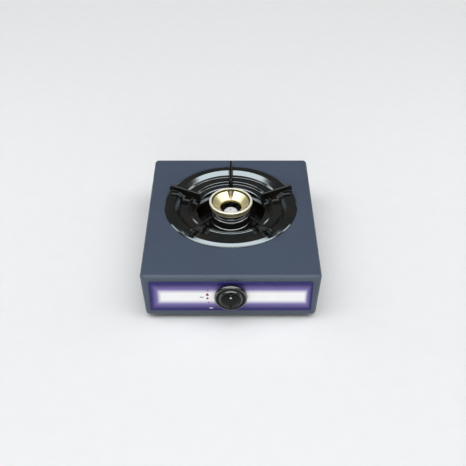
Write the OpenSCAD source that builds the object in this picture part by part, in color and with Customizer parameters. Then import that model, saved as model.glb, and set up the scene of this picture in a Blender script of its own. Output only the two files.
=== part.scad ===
// Table-top gas stove with one burner.
// Millimetres. X runs across the stove, -Y is its front, +Z is up.
// The origin is under the middle of the whole object, on the surface that it stands on.

/* [Body] */
// Width of the body at the top
body_w = 300; // [270:1:360]
// Depth of the body, front wall to rear wall
body_d = 340; // [320:1:408]
// Height of the pressed body, without its feet
shell_h = 89; // [86:1:107]
// Sheet thickness of the pressed body
shell_t = 1; // [0.8:0.1:1.4]
// How far each side leans in from top to bottom
side_draft = 4.9; // [0:0.1:8]
// Outside radius where the top bends down into a wall
top_bend = 6; // [3:0.5:10]
// Outside radius of the upright corners
corner_r = 8; // [4:0.5:14]
// Width of the lip that turns in along the bottom edge
bottom_lip = 22; // [20:1:26]
// Height of the rubber feet
foot_h = 10; // [6:1:16]
// Radius of a foot at the floor
foot_r = 11; // [9:0.5:13]

/* [Front] */
// Width of the printed fascia plate
fascia_w = 272; // [240:1:280]
// Height of the printed fascia plate
fascia_h = 65.5; // [60:0.5:68]
// Thickness of the fascia plate
fascia_t = 1.5; // [1:0.1:2.5]
// Distance from the top of the body down to the fascia plate
fascia_drop = 11.4; // [10:0.1:16]
// Height of the knob's axis below the top of the body
knob_drop = 39.7; // [36:0.1:46]
// Radius of the knob's skirt
knob_r = 27.6; // [23:0.1:29]
// Thickness of the knob's skirt
knob_skirt_t = 6; // [3:0.5:7]
// Radius of the knob's raised middle
knob_hub_r = 18; // [16:0.5:20]
// Height of the raised middle over the skirt
knob_hub_h = 2; // [1:0.5:6]
// Height of the dome over the raised middle
knob_dome_h = 3; // [2:0.5:6]
// Height of the finger bar over the dome
knob_bar_h = 2.5; // [2:0.5:6]
// Width of the finger bar
knob_bar_w = 8; // [6:0.5:10]
// Length of the finger bar
knob_bar_len = 28; // [20:0.5:28]
// How far the knob pushes in before it turns
press_travel = 3.5; // [2:0.5:4]

/* [Pan support] */
// Outside radius of the enamelled ring
ring_r = 121.2; // [112:0.1:130]
// Radius of the hole in the top of the body
hole_r = 104; // [96:0.5:105]
// Distance from the front wall back to the burner's axis
burner_back = 191.7; // [180:0.1:200]
// Height of the ring's rounded rim
rim_h = 5.6; // [4:0.1:8]
// Sheet thickness of the enamelled ring and tray
enamel_t = 1.5; // [1:0.1:2]
// Number of arms
arm_count = 5; // [5:1:5]
// Height of an arm's outer nose above the body
arm_nose_z = 20; // [18:0.5:26]
// Height of an arm's inner tip above the body
arm_tip_z = 13; // [11:0.5:16]
// Radius from the burner's axis to an arm's inner tip
arm_tip_r = 60; // [54:0.5:66]

/* [Burner] */
// Radius of the brass cap's rim
cap_r = 39.5; // [36:0.5:40]
// Height of the cap's rim above the body
cap_z = 10.5; // [8:0.5:14]
// Radius of the hole at the bottom of the cap's funnel
funnel_hole_r = 19.5; // [16:0.5:22]
// Outside radius of the burner bowl's neck
neck_r = 30; // [28:0.5:31]
// Outside radius of the burner bowl
bowl_r = 36.3; // [34:0.1:36.5]
// Depth of the drip tray's floor below the top of the body
tray_depth = 33; // [30:0.5:36]
// Outside radius of the mixing tube
tube_r = 9.5; // [8:0.5:10]
// Height of the mixing tube's axis below the top of the body
tube_drop = 46; // [44:0.5:48]

/* [Gas line] */
// Outside radius of the gas pipe
pipe_r = 4; // [3:0.5:5]
// Bend radius of the gas pipe
pipe_bend = 16; // [12:1:24]
// Distance from the middle of the body to the hose nozzle
inlet_x = 92; // [80:1:100]
// Radius of the hose nozzle's plain end
nozzle_r = 4.75; // [4:0.05:6]
// How far the hose nozzle stands out behind the body
nozzle_reach = 26; // [20:1:36]

/* [Fits] */
// Clearance around a turning or sliding shaft
run_fit = 0.05; // [0.02:0.01:0.1]
// Gap between pieces that lift off each other
lift_gap = 0.3; // [0.3:0.1:0.5]
// Clearance around a screw or a pushed-in plug
screw_fit = 0.2; // [0.1:0.05:0.4]

/* [Hidden] */

// Round parts are drawn with this many sides; small ones with fewer
$fn = 96;
fine_fn = 32;
// Cuts run this far past the faces that they open
over = 1;

// --- Knob, front to back, measured from the front wall's outer face
knob_gap = press_travel + 1;
knob_out = knob_gap + knob_skirt_t + knob_hub_h + knob_dome_h + knob_bar_h;
knob_reach = fascia_t + knob_out;

// --- Body box
front_y = -(knob_reach + body_d + nozzle_reach) / 2 + knob_reach;
rear_y = front_y + body_d;
shell_z0 = foot_h;
top_z = foot_h + shell_h;
knob_z = top_z - knob_drop;
tube_z = top_z - tube_drop;
fascia_z1 = top_z - fascia_drop;
fascia_z0 = fascia_z1 - fascia_h;

// --- Burner axis
burner_y = front_y + burner_back;

// Where the side pressings meet the bent sheet
side_seam_x = body_w / 2 - side_draft - corner_r - 1.1;

// --- Rails that rest on the body's bottom lip
rail_w = 30;
rail_h = 12;
rail_t = 1.5;
rail_inset = 16;
rail_z0 = shell_z0 + shell_t;
rail_top = rail_z0 + rail_h;
front_rail_y = front_y + rail_inset + rail_w / 2;
rear_rail_y = rear_y - rail_inset - rail_w / 2;
bar_screw_x = 10;
// Half the clear width between the side walls at the rails' height
rail_half = body_w / 2 - side_draft - shell_t - 1.5;

// --- Feet: a plug through the lip, with a bulb above it inside the rail
foot_inset = 14;
foot_x = body_w / 2 - side_draft - foot_inset;
foot_stem_r = 3.5;
foot_bulb_r = 5.2;
foot_bulb_h = 4;

// --- Bar and stand that carry the burner
bar_w = 36;
bar_t = 2;
bar_z1 = rail_top + bar_t;
stand_t = 2;
stand_leg_x = 24;
screw_r = 2;
screw_head_r = 3.8;
screw_head_h = 2;

// --- Rear panel
rear_hole_side = 16;
rear_hole_bottom = 14;
rear_hole_top = 18;
panel_lap = 8;
panel_t = 1;

// --- Valve, measured back from the front wall's inner face
valve_y = front_y + shell_t;
bonnet_t = 3;
bonnet_h = 26;
body_r = 13;
chamber_len = 13;
chamber_r = 8.5;
plug_len = 20;
plug_r1 = 8;
plug_r2 = 6;
valve_end = 10;
outlet_w = 15;
valve_y1 = valve_y + bonnet_t;
plug_y0 = valve_y1 + chamber_len + 0.5;
plug_y1 = plug_y0 + plug_len;
valve_y2 = plug_y1 + 1 + valve_end;
bonnet_screw_x = 13.5;
gas_bore_r = 2.5;
boss_r = 7;
boss_len = 9;
inlet_y = plug_y0 + plug_len / 2;
outlet_bore_y = plug_y1 + 3.5;

// --- Spindle
spindle_r = 4;
collar_r = 7;
collar_t = 2;
tang = 4.6;
tang_len = 10;
tang_fit = 0.12;
tang_socket = tang_len + 1;
collar_y0 = valve_y1 + 0.5;
knob_bore_depth = 10;
knob_back_y = front_y - fascia_t - knob_gap;
knob_face_y = front_y - fascia_t - knob_out;
pointer_r = 1.6;
pointer_t = 1;
pointer_z = knob_z + knob_bar_len / 2 - knob_bar_w / 2;
spindle_front_y = knob_back_y - knob_bore_depth + 1;
insert_r = 5.5;
spindle_wire = 1;

// --- Igniter, beside the valve
igniter_w = 15;
igniter_h = 17;
igniter_len = 44;
igniter_x0 = body_r;
igniter_x = igniter_x0 + igniter_w / 2;
bonnet_w = 2 * (igniter_x0 + igniter_w);
igniter_bore_r = 5;
hammer_r = igniter_bore_r - 2 * run_fit;
hammer_len = 12;
hammer_travel = 6;
anvil_len = 10;
igniter_y0 = valve_y1;
igniter_y1 = igniter_y0 + igniter_len;
anvil_y = igniter_y1 - 6 - anvil_len;
hammer_y1 = anvil_y - 0.3;
hammer_y0 = hammer_y1 - hammer_len;
lead_r = 1.5;

// --- Jet and mixing tube on the knob's axis
jet_r = 5;
jet_len = 12;
jet_thread_r = 4;
jet_thread_len = 4;
jet_bore_r = 0.6;
jet_y1 = valve_y2 + jet_len;
tube_bore_r = tube_r - 2;
bell_r = 15;
bell_len = 18;
tube_y0 = jet_y1 + 4;
shutter_t = 1.5;
shutter_r = bell_r + 2;
shutter_gap = 0.3;
shutter_bore_r = 4;
air_port_r = 2.8;
air_port_pitch_r = 9;

// --- Hose nozzle
nozzle_thread_r = 6;
nozzle_bore_r = 2.5;
nozzle_y0 = rear_y - shell_t - panel_t - 12;

// --- Burner bowl, heights below the top of the body
bowl_wall = 4;
bowl_top = top_z - 2;
shoulder_z = top_z - 15;
bowl_flange_z = top_z - 31;
bowl_flange_r = bowl_r + 1.7;
bowl_floor_z = tube_z - tube_r - 5;
seat_r = neck_r - bowl_wall;

// --- Brass cap
cap_rim_t = 5;
cap_waist_r = 34;
cap_foot_r = 37.2;
cap_foot_z0 = bowl_top + lift_gap;
cap_foot_t = 1.8;
cap_skirt_len = 6;
cap_skirt_r = seat_r - 0.2;
cap_cone_wall = 2;
funnel_top_r = 34;
funnel_step = 1.6;
funnel_rim_r = 35.2;
slot_r = 2.4;
port_count = 24;
port_r = 1;

// --- Dome under the funnel's hole
dome_r = 13;
dome_top = top_z - 11;
dome_h = 6;
dome_hole_r = 1.3;

// --- Drip tray
tray_t = 0.8;
tray_z = top_z - tray_depth;
tray_hole_r = cap_r + 4;
tray_hole_lip = 2;
tray_lip_h = 4;
tray_floor_r = 68;
tray_wall_r = hole_r - 1.5;
tray_flange_r = hole_r + 6;
tray_flange_z = top_z + lift_gap;

// --- Pan ring, radii from the burner's axis and heights over the body
ring_z = top_z + lift_gap;
rim_w = 14.2;
rim_in_r = ring_r - rim_w;
land_r = min(rim_in_r - 4, hole_r - 1);
trough_r1 = land_r - 11;
trough_z = top_z - 3.6;
ring_in_r = arm_tip_r + 3;
ring_in_z = top_z - 9;
// Where the trough and the bead lie between the ring's inner edge and the trough's outer end
trough_r0 = ring_in_r + (trough_r1 - ring_in_r) * 17 / 29;
bead_r = ring_in_r + (trough_r1 - ring_in_r) * 13 / 29;
bead_z = top_z - 1.6;

// --- Arms
arm_top_w = 4;
arm_foot_w = 12;
nose_r = 5;
nose_c_r = ring_r - 7.5;

// --- Electrode behind the burner
electrode_back = 47;
ceramic_r = 3;
pin_r = 1.1;
electrode_z0 = tray_z - 12;
ceramic_top = top_z - 4;
pin_top = top_z + 3;
tray_port_r = 5.2;

// Points of an arc about (cx, cy), from angle a0 to a1 in n steps
function arc(cx, cy, r, a0, a1, n = 8) =
    [for (i = [0:n]) let (a = a0 + (a1 - a0) * i / n) [cx + r * cos(a), cy + r * sin(a)]];
// Points of a quarter ellipse about (cx, cy), from angle a0 to a1
function ellipse(cx, cy, rx, ry, a0, a1, n = 10) =
    [for (i = [0:n]) let (a = a0 + (a1 - a0) * i / n) [cx + rx * cos(a), cy + ry * sin(a)]];

// --- Small shared shapes

// A cylinder along +Y that starts at y
module y_rod(x, y, z, r, len, r2 = -1) {
    translate([x, y, z]) rotate([-90, 0, 0]) cylinder(h = len, r1 = r, r2 = r2 < 0 ? r : r2);
}

// A cylinder along +X that starts at x
module x_rod(x, y, z, r, len) {
    translate([x, y, z]) rotate([0, 90, 0]) cylinder(h = len, r = r);
}

// A body of revolution about the burner's axis, drawn in radius and absolute height
module burner_turned(points) {
    translate([0, burner_y, 0]) rotate_extrude() polygon(points);
}

// A flat rectangle with round corners, centred
module rounded_rect(w, d, r) {
    polygon(concat(
        arc(w / 2 - r, d / 2 - r, r, 0, 90), arc(-w / 2 + r, d / 2 - r, r, 90, 180),
        arc(-w / 2 + r, -d / 2 + r, r, 180, 270), arc(w / 2 - r, -d / 2 + r, r, 270, 360)));
}

// A pan-head screw that points along +Z, its head's underside at z = 0
module screw(len, r = screw_r) {
    translate([0, 0, -screw_head_h]) cylinder(h = screw_head_h, r = screw_head_r, $fn = fine_fn);
    cylinder(h = len, r = r, $fn = fine_fn);
}

// A helical spring along +Z: mean radius r, wire radius w, and its number of turns
module coil_spring(r, w, len, turns, steps = 14, sides = 6) {
    n = turns * steps;
    pitch = (len - 2 * w) / turns;
    rings = [for (i = [0:n]) for (k = [0:sides - 1])
        let (a = 360 * i / steps, b = 360 * k / sides, rr = r + w * cos(b))
        [rr * cos(a), rr * sin(a), w + pitch * i / steps + w * sin(b)]];
    polyhedron(points = rings, faces = tube_faces(n, sides));
}

// --- Body

// The solid that the body's outside bounds, pulled in by t on every face
module body_block(t) {
    w_top = body_w / 2 - t;
    w_low = w_top - side_draft;
    r = top_bend - t;
    z0 = shell_z0 + t;
    z1 = top_z - t;
    intersection() {
        translate([0, rear_y + over, 0]) rotate([90, 0, 0])
            linear_extrude(body_d + 2 * over)
                polygon(concat([[-w_low, z0], [w_low, z0]],
                    arc(w_top - r, z1 - r, r, 0, 90), arc(-w_top + r, z1 - r, r, 90, 180)));
        translate([-body_w / 2 - over, 0, 0]) rotate([90, 0, 90])
            linear_extrude(body_w + 2 * over)
                polygon(concat([[rear_y - t, z0]],
                    arc(rear_y - t - r, z1 - r, r, 0, 90),
                    arc(front_y + t + r, z1 - r, r, 90, 180), [[front_y + t, z0]]));
        translate([0, (front_y + rear_y) / 2, 0])
            linear_extrude(top_z)
                rounded_rect(body_w - 2 * t, body_d - 2 * t, corner_r - t);
    }
}

// The whole hollow body with all its holes
module pressed_sheet() {
    lip_w = body_w - 2 * (side_draft + bottom_lip);
    lip_d = body_d - 2 * bottom_lip;
    difference() {
        body_block(0);
        body_block(shell_t);
        translate([0, (front_y + rear_y) / 2, shell_z0 - over])
            linear_extrude(shell_t + 2 * over) rounded_rect(lip_w, lip_d, corner_r);
        translate([0, burner_y, top_z - top_bend]) cylinder(h = 2 * top_bend, r = hole_r);
        y_rod(0, front_y - over, knob_z, spindle_r + 2, shell_t + 2 * over);
        for (s = [-1, 1])
            y_rod(s * bonnet_screw_x, front_y - over, knob_z, screw_r + screw_fit, shell_t + 2 * over);
        rear_opening();
        for (p = panel_screw_places())
            y_rod(p[0], rear_y - shell_t - over, p[1], screw_r + screw_fit, shell_t + 2 * over);
        for (x = [-foot_x, foot_x]) for (y = [front_rail_y, rear_rail_y])
            translate([x, y, shell_z0 - over]) cylinder(h = shell_t + 2 * over, r = foot_stem_r);
    }
}

// The space on side s that holds a side pressing: its wall, corners and bottom lip
module side_zone(s) {
    lip_x0 = body_w / 2 - side_draft - bottom_lip - over;
    mirror([s < 0 ? 1 : 0, 0, 0]) {
        translate([side_seam_x, front_y - over, 0]) cube([body_w / 2, body_d + 2 * over, top_z + over]);
        translate([lip_x0, front_y + bottom_lip, 0])
            cube([side_seam_x - lip_x0 + over, body_d - 2 * bottom_lip, shell_z0 + shell_t + over]);
    }
}

// Top, front and rear walls in one bent sheet; the side pressings are spot-welded to its edges
module body_shell() {
    color([0.33, 0.38, 0.46]) difference() {
        pressed_sheet();
        side_zone(-1);
        side_zone(1);
    }
}

module body_side(s) {
    color([0.33, 0.38, 0.46]) intersection() {
        pressed_sheet();
        side_zone(s);
    }
}

module body_side_left() { body_side(-1); }
module body_side_right() { body_side(1); }

// The opening in the rear wall that the rear panel closes from inside
module rear_opening() {
    w = body_w - 2 * (side_draft + rear_hole_side);
    z0 = shell_z0 + rear_hole_bottom;
    z1 = top_z - rear_hole_top;
    translate([0, rear_y + over, (z0 + z1) / 2]) rotate([90, 0, 0])
        linear_extrude(shell_t + 2 * over) rounded_rect(w, z1 - z0, corner_r);
}

// Where the rear panel's screws stand: [x, z]
function panel_screw_places() =
    let (x = body_w / 2 - side_draft - rear_hole_side + panel_lap / 2)
    [for (sx = [-1, 1]) for (z = [shell_z0 + rear_hole_bottom + 10, top_z - rear_hole_top - 10]) [sx * x, z]];

module rear_panel() {
    w = body_w - 2 * (side_draft + rear_hole_side - panel_lap);
    z0 = shell_z0 + rear_hole_bottom - panel_lap + 4;
    z1 = top_z - rear_hole_top + panel_lap;
    vent_w = 3;
    vent_h = 30;
    vent_count = 13;
    vent_pitch = 9;
    color([0.3, 0.34, 0.41]) difference() {
        translate([0, rear_y - shell_t, (z0 + z1) / 2]) rotate([90, 0, 0])
            linear_extrude(panel_t) rounded_rect(w, z1 - z0, corner_r);
        for (i = [0:vent_count - 1])
            translate([(i - (vent_count - 1) / 2) * vent_pitch, rear_y - shell_t + over, (z0 + z1) / 2])
                rotate([90, 0, 0]) linear_extrude(panel_t + 2 * over) {
                    square([vent_w, vent_h - vent_w], center = true);
                    for (s = [-1, 1]) translate([0, s * (vent_h - vent_w) / 2]) circle(r = vent_w / 2);
                }
        y_rod(-inlet_x, rear_y - shell_t - panel_t - over, knob_z,
              nozzle_thread_r + screw_fit, panel_t + 2 * over);
        for (p = panel_screw_places())
            y_rod(p[0], rear_y - shell_t - panel_t - over, p[1], screw_r, panel_t + 2 * over);
    }
}

module rear_panel_screws() {
    color("silver") for (p = panel_screw_places())
        translate([p[0], rear_y, p[1]]) rotate([90, 0, 0]) screw(shell_t + panel_t + 2);
}

// A channel across the body, open at the bottom, at the middle line y
module rail(y) {
    color([0.6, 0.62, 0.64]) difference() {
        translate([-rail_half, y - rail_w / 2, rail_z0]) cube([2 * rail_half, rail_w, rail_h]);
        translate([-rail_half - over, y - rail_w / 2 + rail_t, rail_z0 - over])
            cube([2 * (rail_half + over), rail_w - 2 * rail_t, rail_h - rail_t + over]);
        for (s = [-1, 1])
            translate([s * bar_screw_x, y, rail_top - rail_t - over])
                cylinder(h = rail_t + 2 * over, r = screw_r, $fn = fine_fn);
    }
}

module front_rail() { rail(front_rail_y); }
module rear_rail() { rail(rear_rail_y); }

// Flat bar from rail to rail under the burner
module burner_bar() {
    color([0.6, 0.62, 0.64]) difference() {
        translate([-bar_w / 2, front_rail_y - rail_w / 2, rail_top])
            cube([bar_w, rear_rail_y - front_rail_y + rail_w, bar_t]);
        for (s = [-1, 1]) {
            for (y = [front_rail_y, rear_rail_y]) bar_hole(s * bar_screw_x, y);
            bar_hole(s * bar_screw_x, burner_y);
        }
    }
}

module bar_hole(x, y) {
    translate([x, y, rail_top - over]) cylinder(h = bar_t + 2 * over, r = screw_r, $fn = fine_fn);
}

module foot(x, y) {
    color([0.09, 0.09, 0.1]) translate([x, y, 0]) rotate_extrude() polygon(concat(
        [[0, 0], [foot_r - 2, 0]], arc(foot_r - 2, 2, 2, -90, 0, 4),
        [[foot_r - 1.5, foot_h], [foot_stem_r, foot_h], [foot_stem_r, foot_h + shell_t],
         [foot_bulb_r, foot_h + shell_t], [foot_stem_r - 0.5, foot_h + shell_t + foot_bulb_h],
         [0, foot_h + shell_t + foot_bulb_h]]));
}

module foot_front_left() { foot(-foot_x, front_rail_y); }
module foot_front_right() { foot(foot_x, front_rail_y); }
module foot_rear_left() { foot(-foot_x, rear_rail_y); }
module foot_rear_right() { foot(foot_x, rear_rail_y); }

// --- Front

module fascia() {
    color([0.8, 0.78, 0.9]) difference() {
        translate([0, front_y, (fascia_z0 + fascia_z1) / 2]) rotate([90, 0, 0])
            linear_extrude(fascia_t) rounded_rect(fascia_w, fascia_h, 3);
        y_rod(0, front_y - fascia_t - over, knob_z, spindle_r + 2, fascia_t + 2 * over);
        for (s = [-1, 1])
            y_rod(s * bonnet_screw_x, front_y - fascia_t - over, knob_z,
                  screw_head_r + screw_fit, fascia_t + 2 * over);
    }
}

// --- Valve

module valve_bonnet() {
    color("silver") difference() {
        translate([0, valve_y + bonnet_t, knob_z]) rotate([90, 0, 0])
            linear_extrude(bonnet_t) rounded_rect(bonnet_w, bonnet_h, 5);
        y_rod(0, valve_y - over, knob_z, spindle_r + run_fit, bonnet_t + 2 * over);
        for (s = [-1, 1]) y_rod(s * bonnet_screw_x, valve_y - over, knob_z, screw_r, bonnet_t + 2 * over);
    }
}

module valve_screws() {
    color("silver") for (s = [-1, 1])
        translate([s * bonnet_screw_x, front_y, knob_z]) rotate([-90, 0, 0])
            screw(shell_t + bonnet_t);
}

module valve_body() {
    color([0.72, 0.73, 0.75]) difference() {
        union() {
            y_rod(0, valve_y1, knob_z, body_r, valve_y2 - valve_y1);
            x_rod(-body_r - boss_len, inlet_y, knob_z, boss_r, body_r + boss_len);
            translate([-outlet_w / 2, plug_y1, tube_z - outlet_w / 2])
                cube([outlet_w, valve_y2 - plug_y1, knob_z - tube_z + outlet_w / 2]);
        }
        y_rod(0, valve_y1 - over, knob_z, chamber_r, chamber_len + 0.5 + over);
        y_rod(0, plug_y0, knob_z, plug_r1 + run_fit, plug_len, plug_r2 + run_fit);
        y_rod(0, plug_y1 - 0.01, knob_z, plug_r2 + run_fit, 1);
        y_rod(0, plug_y1, knob_z, gas_bore_r, outlet_bore_y - plug_y1);
        translate([0, outlet_bore_y, tube_z]) cylinder(h = knob_z - tube_z, r = gas_bore_r);
        y_rod(0, outlet_bore_y, tube_z, gas_bore_r, valve_y2 - outlet_bore_y);
        y_rod(0, valve_y2 - jet_thread_len, tube_z, jet_thread_r, jet_thread_len + over);
        x_rod(-body_r - boss_len - over, inlet_y, knob_z, gas_bore_r, body_r + boss_len + over);
        x_rod(-body_r - boss_len - over, inlet_y, knob_z, pipe_r, 5 + over);
    }
}

// Tapered plug with a square socket in front and a gas way from its side to its rear end
module valve_plug() {
    half = tang / 2 + tang_fit;
    color([0.78, 0.62, 0.3]) difference() {
        y_rod(0, plug_y0, knob_z, plug_r1, plug_len, plug_r2);
        translate([-half, plug_y0 - over, knob_z - half]) cube([2 * half, tang_socket - 2 + over, 2 * half]);
        y_rod(0, inlet_y, knob_z, gas_bore_r - 0.5, plug_len);
        translate([0, inlet_y + 1.5, knob_z]) cylinder(h = plug_r1 + over, r = gas_bore_r - 0.5);
    }
}

module valve_spindle() {
    color([0.75, 0.76, 0.78]) difference() {
        union() {
            y_rod(0, spindle_front_y, knob_z, spindle_r, collar_y0 - spindle_front_y);
            y_rod(0, collar_y0, knob_z, collar_r, collar_t);
            y_rod(0, collar_y0 + collar_t, knob_z, spindle_r - 0.8,
                  plug_y0 - press_travel - 1 - collar_y0 - collar_t);
            translate([-tang / 2, plug_y0 - press_travel - 1.2, knob_z - tang / 2])
                cube([tang, tang_len - 2, tang]);
        }
        translate([-spindle_r, spindle_front_y - over, knob_z + spindle_r - 1.2])
            cube([2 * spindle_r, knob_bore_depth, spindle_r]);
    }
}

// Return spring between the spindle's collar and the plug
module spindle_spring() {
    len = plug_y0 - collar_y0 - collar_t - 0.2;
    color("silver") translate([0, collar_y0 + collar_t + 0.1, knob_z]) rotate([-90, 0, 0])
        coil_spring(collar_r - spindle_wire, spindle_wire / 2, len, 5);
}

module knob() {
    hub_z = knob_skirt_t + knob_hub_h;
    dome_edge_r = knob_hub_r - 3;
    color([0.05, 0.05, 0.06]) difference() {
        union() {
            translate([0, knob_back_y, knob_z]) rotate([90, 0, 0]) rotate_extrude() polygon(concat(
                [[0, 0], [knob_r, 0], [knob_r, 1.2]],
                ellipse(knob_r - 2.5, 1.2, 2.5, knob_skirt_t - 1.2, 0, 90, 6),
                [[knob_hub_r + 1, knob_skirt_t]],
                ellipse(knob_hub_r - 1.6, hub_z - 1.2, 1.6, 1.2, 0, 90, 5),
                ellipse(0, hub_z, dome_edge_r, knob_dome_h, 0, 90, 12)));
            translate([0, knob_face_y, knob_z]) rotate([-90, 0, 0])
                linear_extrude(knob_bar_h + knob_dome_h) knob_bar_outline();
        }
        y_rod(0, knob_back_y - knob_bore_depth, knob_z, insert_r, knob_bore_depth + over);
        y_rod(0, knob_face_y - over, pointer_z, pointer_r, pointer_t + over);
    }
}

// The finger bar's outline, with round ends
module knob_bar_outline() {
    end = (knob_bar_len - knob_bar_w) / 2;
    square([knob_bar_w, 2 * end], center = true);
    for (s = [-1, 1]) translate([0, s * end]) circle(r = knob_bar_w / 2);
}

// Steel bush in the knob's back, with a flat that the spindle's flat drives
module knob_insert() {
    flat_z = spindle_r - 1.2 + run_fit;
    color("silver") difference() {
        y_rod(0, knob_back_y - knob_bore_depth, knob_z, insert_r, knob_bore_depth);
        difference() {
            y_rod(0, knob_back_y - knob_bore_depth + 1, knob_z, spindle_r, knob_bore_depth);
            translate([-spindle_r, knob_back_y - knob_bore_depth, knob_z + flat_z])
                cube([2 * spindle_r, knob_bore_depth - 1, spindle_r]);
        }
    }
}

module knob_pointer() {
    color("white") y_rod(0, knob_face_y, pointer_z, pointer_r, pointer_t);
}

// --- Igniter

module igniter_housing() {
    color([0.85, 0.84, 0.8]) difference() {
        translate([igniter_x0, igniter_y0, knob_z - igniter_h / 2]) cube([igniter_w, igniter_len, igniter_h]);
        y_rod(igniter_x, igniter_y0 + 1.5, knob_z, igniter_bore_r, anvil_y - igniter_y0 - 1.5);
        y_rod(igniter_x, anvil_y - 0.01, knob_z, igniter_bore_r - 1, anvil_len + 0.01);
        y_rod(igniter_x, anvil_y + anvil_len - over, knob_z, lead_r + screw_fit,
              igniter_y1 - anvil_y - anvil_len + 2 * over);
    }
}

module igniter_hammer() {
    color([0.7, 0.71, 0.73]) y_rod(igniter_x, hammer_y0, knob_z, hammer_r, hammer_len);
}

module igniter_spring() {
    y0 = igniter_y0 + 1.5;
    color("silver") translate([igniter_x, y0 + 0.1, knob_z]) rotate([-90, 0, 0])
        coil_spring(igniter_bore_r - 1.2, 0.4, hammer_y0 - y0 - 0.2, 6, steps = 12);
}

module piezo_element() {
    color([0.9, 0.88, 0.8]) y_rod(igniter_x, anvil_y, knob_z, igniter_bore_r - 1, anvil_len);
}

// Sheathed lead from the piezo element, round the burner, up to the electrode
module ignition_lead() {
    side_x = bowl_r + 18;
    low_z = tray_z - 14;
    electrode_y = burner_y + electrode_back;
    start_y = anvil_y + anvil_len;
    route = [
        [igniter_x, start_y, knob_z], [igniter_x, igniter_y1 + 1, knob_z],
        [igniter_x, igniter_y1 + 9, knob_z],
        [side_x - 14, igniter_y1 + 26, low_z + 2], [side_x, igniter_y1 + 50, low_z],
        [side_x, burner_y, low_z], [side_x - 12, electrode_y - 6, low_z - 2],
        [18, electrode_y + 6, low_z - 4], [4, electrode_y + 2, electrode_z0 - 10],
        [0, electrode_y, electrode_z0 - 4], [0, electrode_y, electrode_z0]];
    color([0.75, 0.12, 0.1]) swept_tube(smooth_path(route, 6), lead_r, 8);
}

// Points of a smooth curve through every point of the route, n to each stretch
function smooth_path(p, n) = concat(
    [for (i = [0:len(p) - 2]) for (k = [0:n - 1]) spline_point(p, i, k / n)], [p[len(p) - 1]]);
function spline_point(p, i, t) =
    let (a = p[max(i - 1, 0)], b = p[i], c = p[i + 1], d = p[min(i + 2, len(p) - 1)])
    0.5 * (2 * b + (c - a) * t + (2 * a - 5 * b + 4 * c - d) * pow(t, 2)
        + (3 * b - a - 3 * c + d) * pow(t, 3));

// A round tube along a path, with flat ends; no stretch may run along the lean vector
module swept_tube(path, r, sides) {
    lean = [-0.8, 0, 0.6];
    last = len(path) - 1;
    rings = [for (i = [0:last])
        let (d = path[min(i + 1, last)] - path[max(i - 1, 0)], t = d / norm(d),
            u0 = cross(t, lean), u = u0 / norm(u0), v = cross(t, u))
        for (k = [0:sides - 1]) path[i] + r * (cos(360 * k / sides) * u + sin(360 * k / sides) * v)];
    polyhedron(points = rings, faces = tube_faces(last, sides));
}

// Faces of a tube of n stretches, each ring with the same number of sides
function tube_faces(n, sides) = concat(
    [for (i = [0:n - 1]) for (k = [0:sides - 1])
        let (j = (k + 1) % sides, p = i * sides, q = p + sides)
        for (f = [[p + k, q + j, p + j], [p + k, q + k, q + j]]) f],
    [[for (k = [0:sides - 1]) k], [for (k = [sides - 1:-1:0]) n * sides + k]]);

module electrode_ceramic() {
    color("white") difference() {
        translate([0, burner_y + electrode_back, electrode_z0])
            cylinder(h = ceramic_top - electrode_z0, r = ceramic_r, $fn = fine_fn);
        translate([0, burner_y + electrode_back, electrode_z0 + 3])
            cylinder(h = ceramic_top - electrode_z0, r = pin_r, $fn = fine_fn);
    }
}

module electrode_pin() {
    color("silver") translate([0, burner_y + electrode_back, electrode_z0 + 3])
        cylinder(h = pin_top - electrode_z0 - 3, r = pin_r, $fn = fine_fn);
}

// Strap that holds the electrode to the burner bowl
module electrode_clip() {
    z = electrode_z0 + 4;
    color("silver") difference() {
        translate([-6, burner_y, z]) cube([12, electrode_back + ceramic_r + 3, 1.5]);
        translate([0, burner_y, z - over]) cylinder(h = 4, r = bowl_r);
        translate([0, burner_y + electrode_back, z - over]) cylinder(h = 4, r = ceramic_r, $fn = fine_fn);
    }
}

// --- Gas line

// Pipe from the hose nozzle along the left side and across to the valve's inlet
module inlet_pipe() {
    x_end = -body_r - boss_len + 5;
    y0 = inlet_y + pipe_bend;
    color([0.8, 0.81, 0.82]) {
        pipe_length_y(y0, nozzle_y0 + 6 - y0);
        translate([-inlet_x + pipe_bend, y0, knob_z]) rotate([0, 0, 180]) rotate_extrude(angle = 90)
            translate([pipe_bend, 0]) pipe_section();
        difference() {
            x_rod(-inlet_x + pipe_bend, inlet_y, knob_z, pipe_r, x_end + inlet_x - pipe_bend);
            x_rod(-inlet_x + pipe_bend - over, inlet_y, knob_z, pipe_r - 1, x_end + inlet_x + 2 * over);
        }
    }
}

module pipe_length_y(y, len) {
    difference() {
        y_rod(-inlet_x, y, knob_z, pipe_r, len);
        y_rod(-inlet_x, y - over, knob_z, pipe_r - 1, len + 2 * over);
    }
}

module pipe_section() {
    difference() {
        circle(r = pipe_r);
        circle(r = pipe_r - 1);
    }
}

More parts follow.
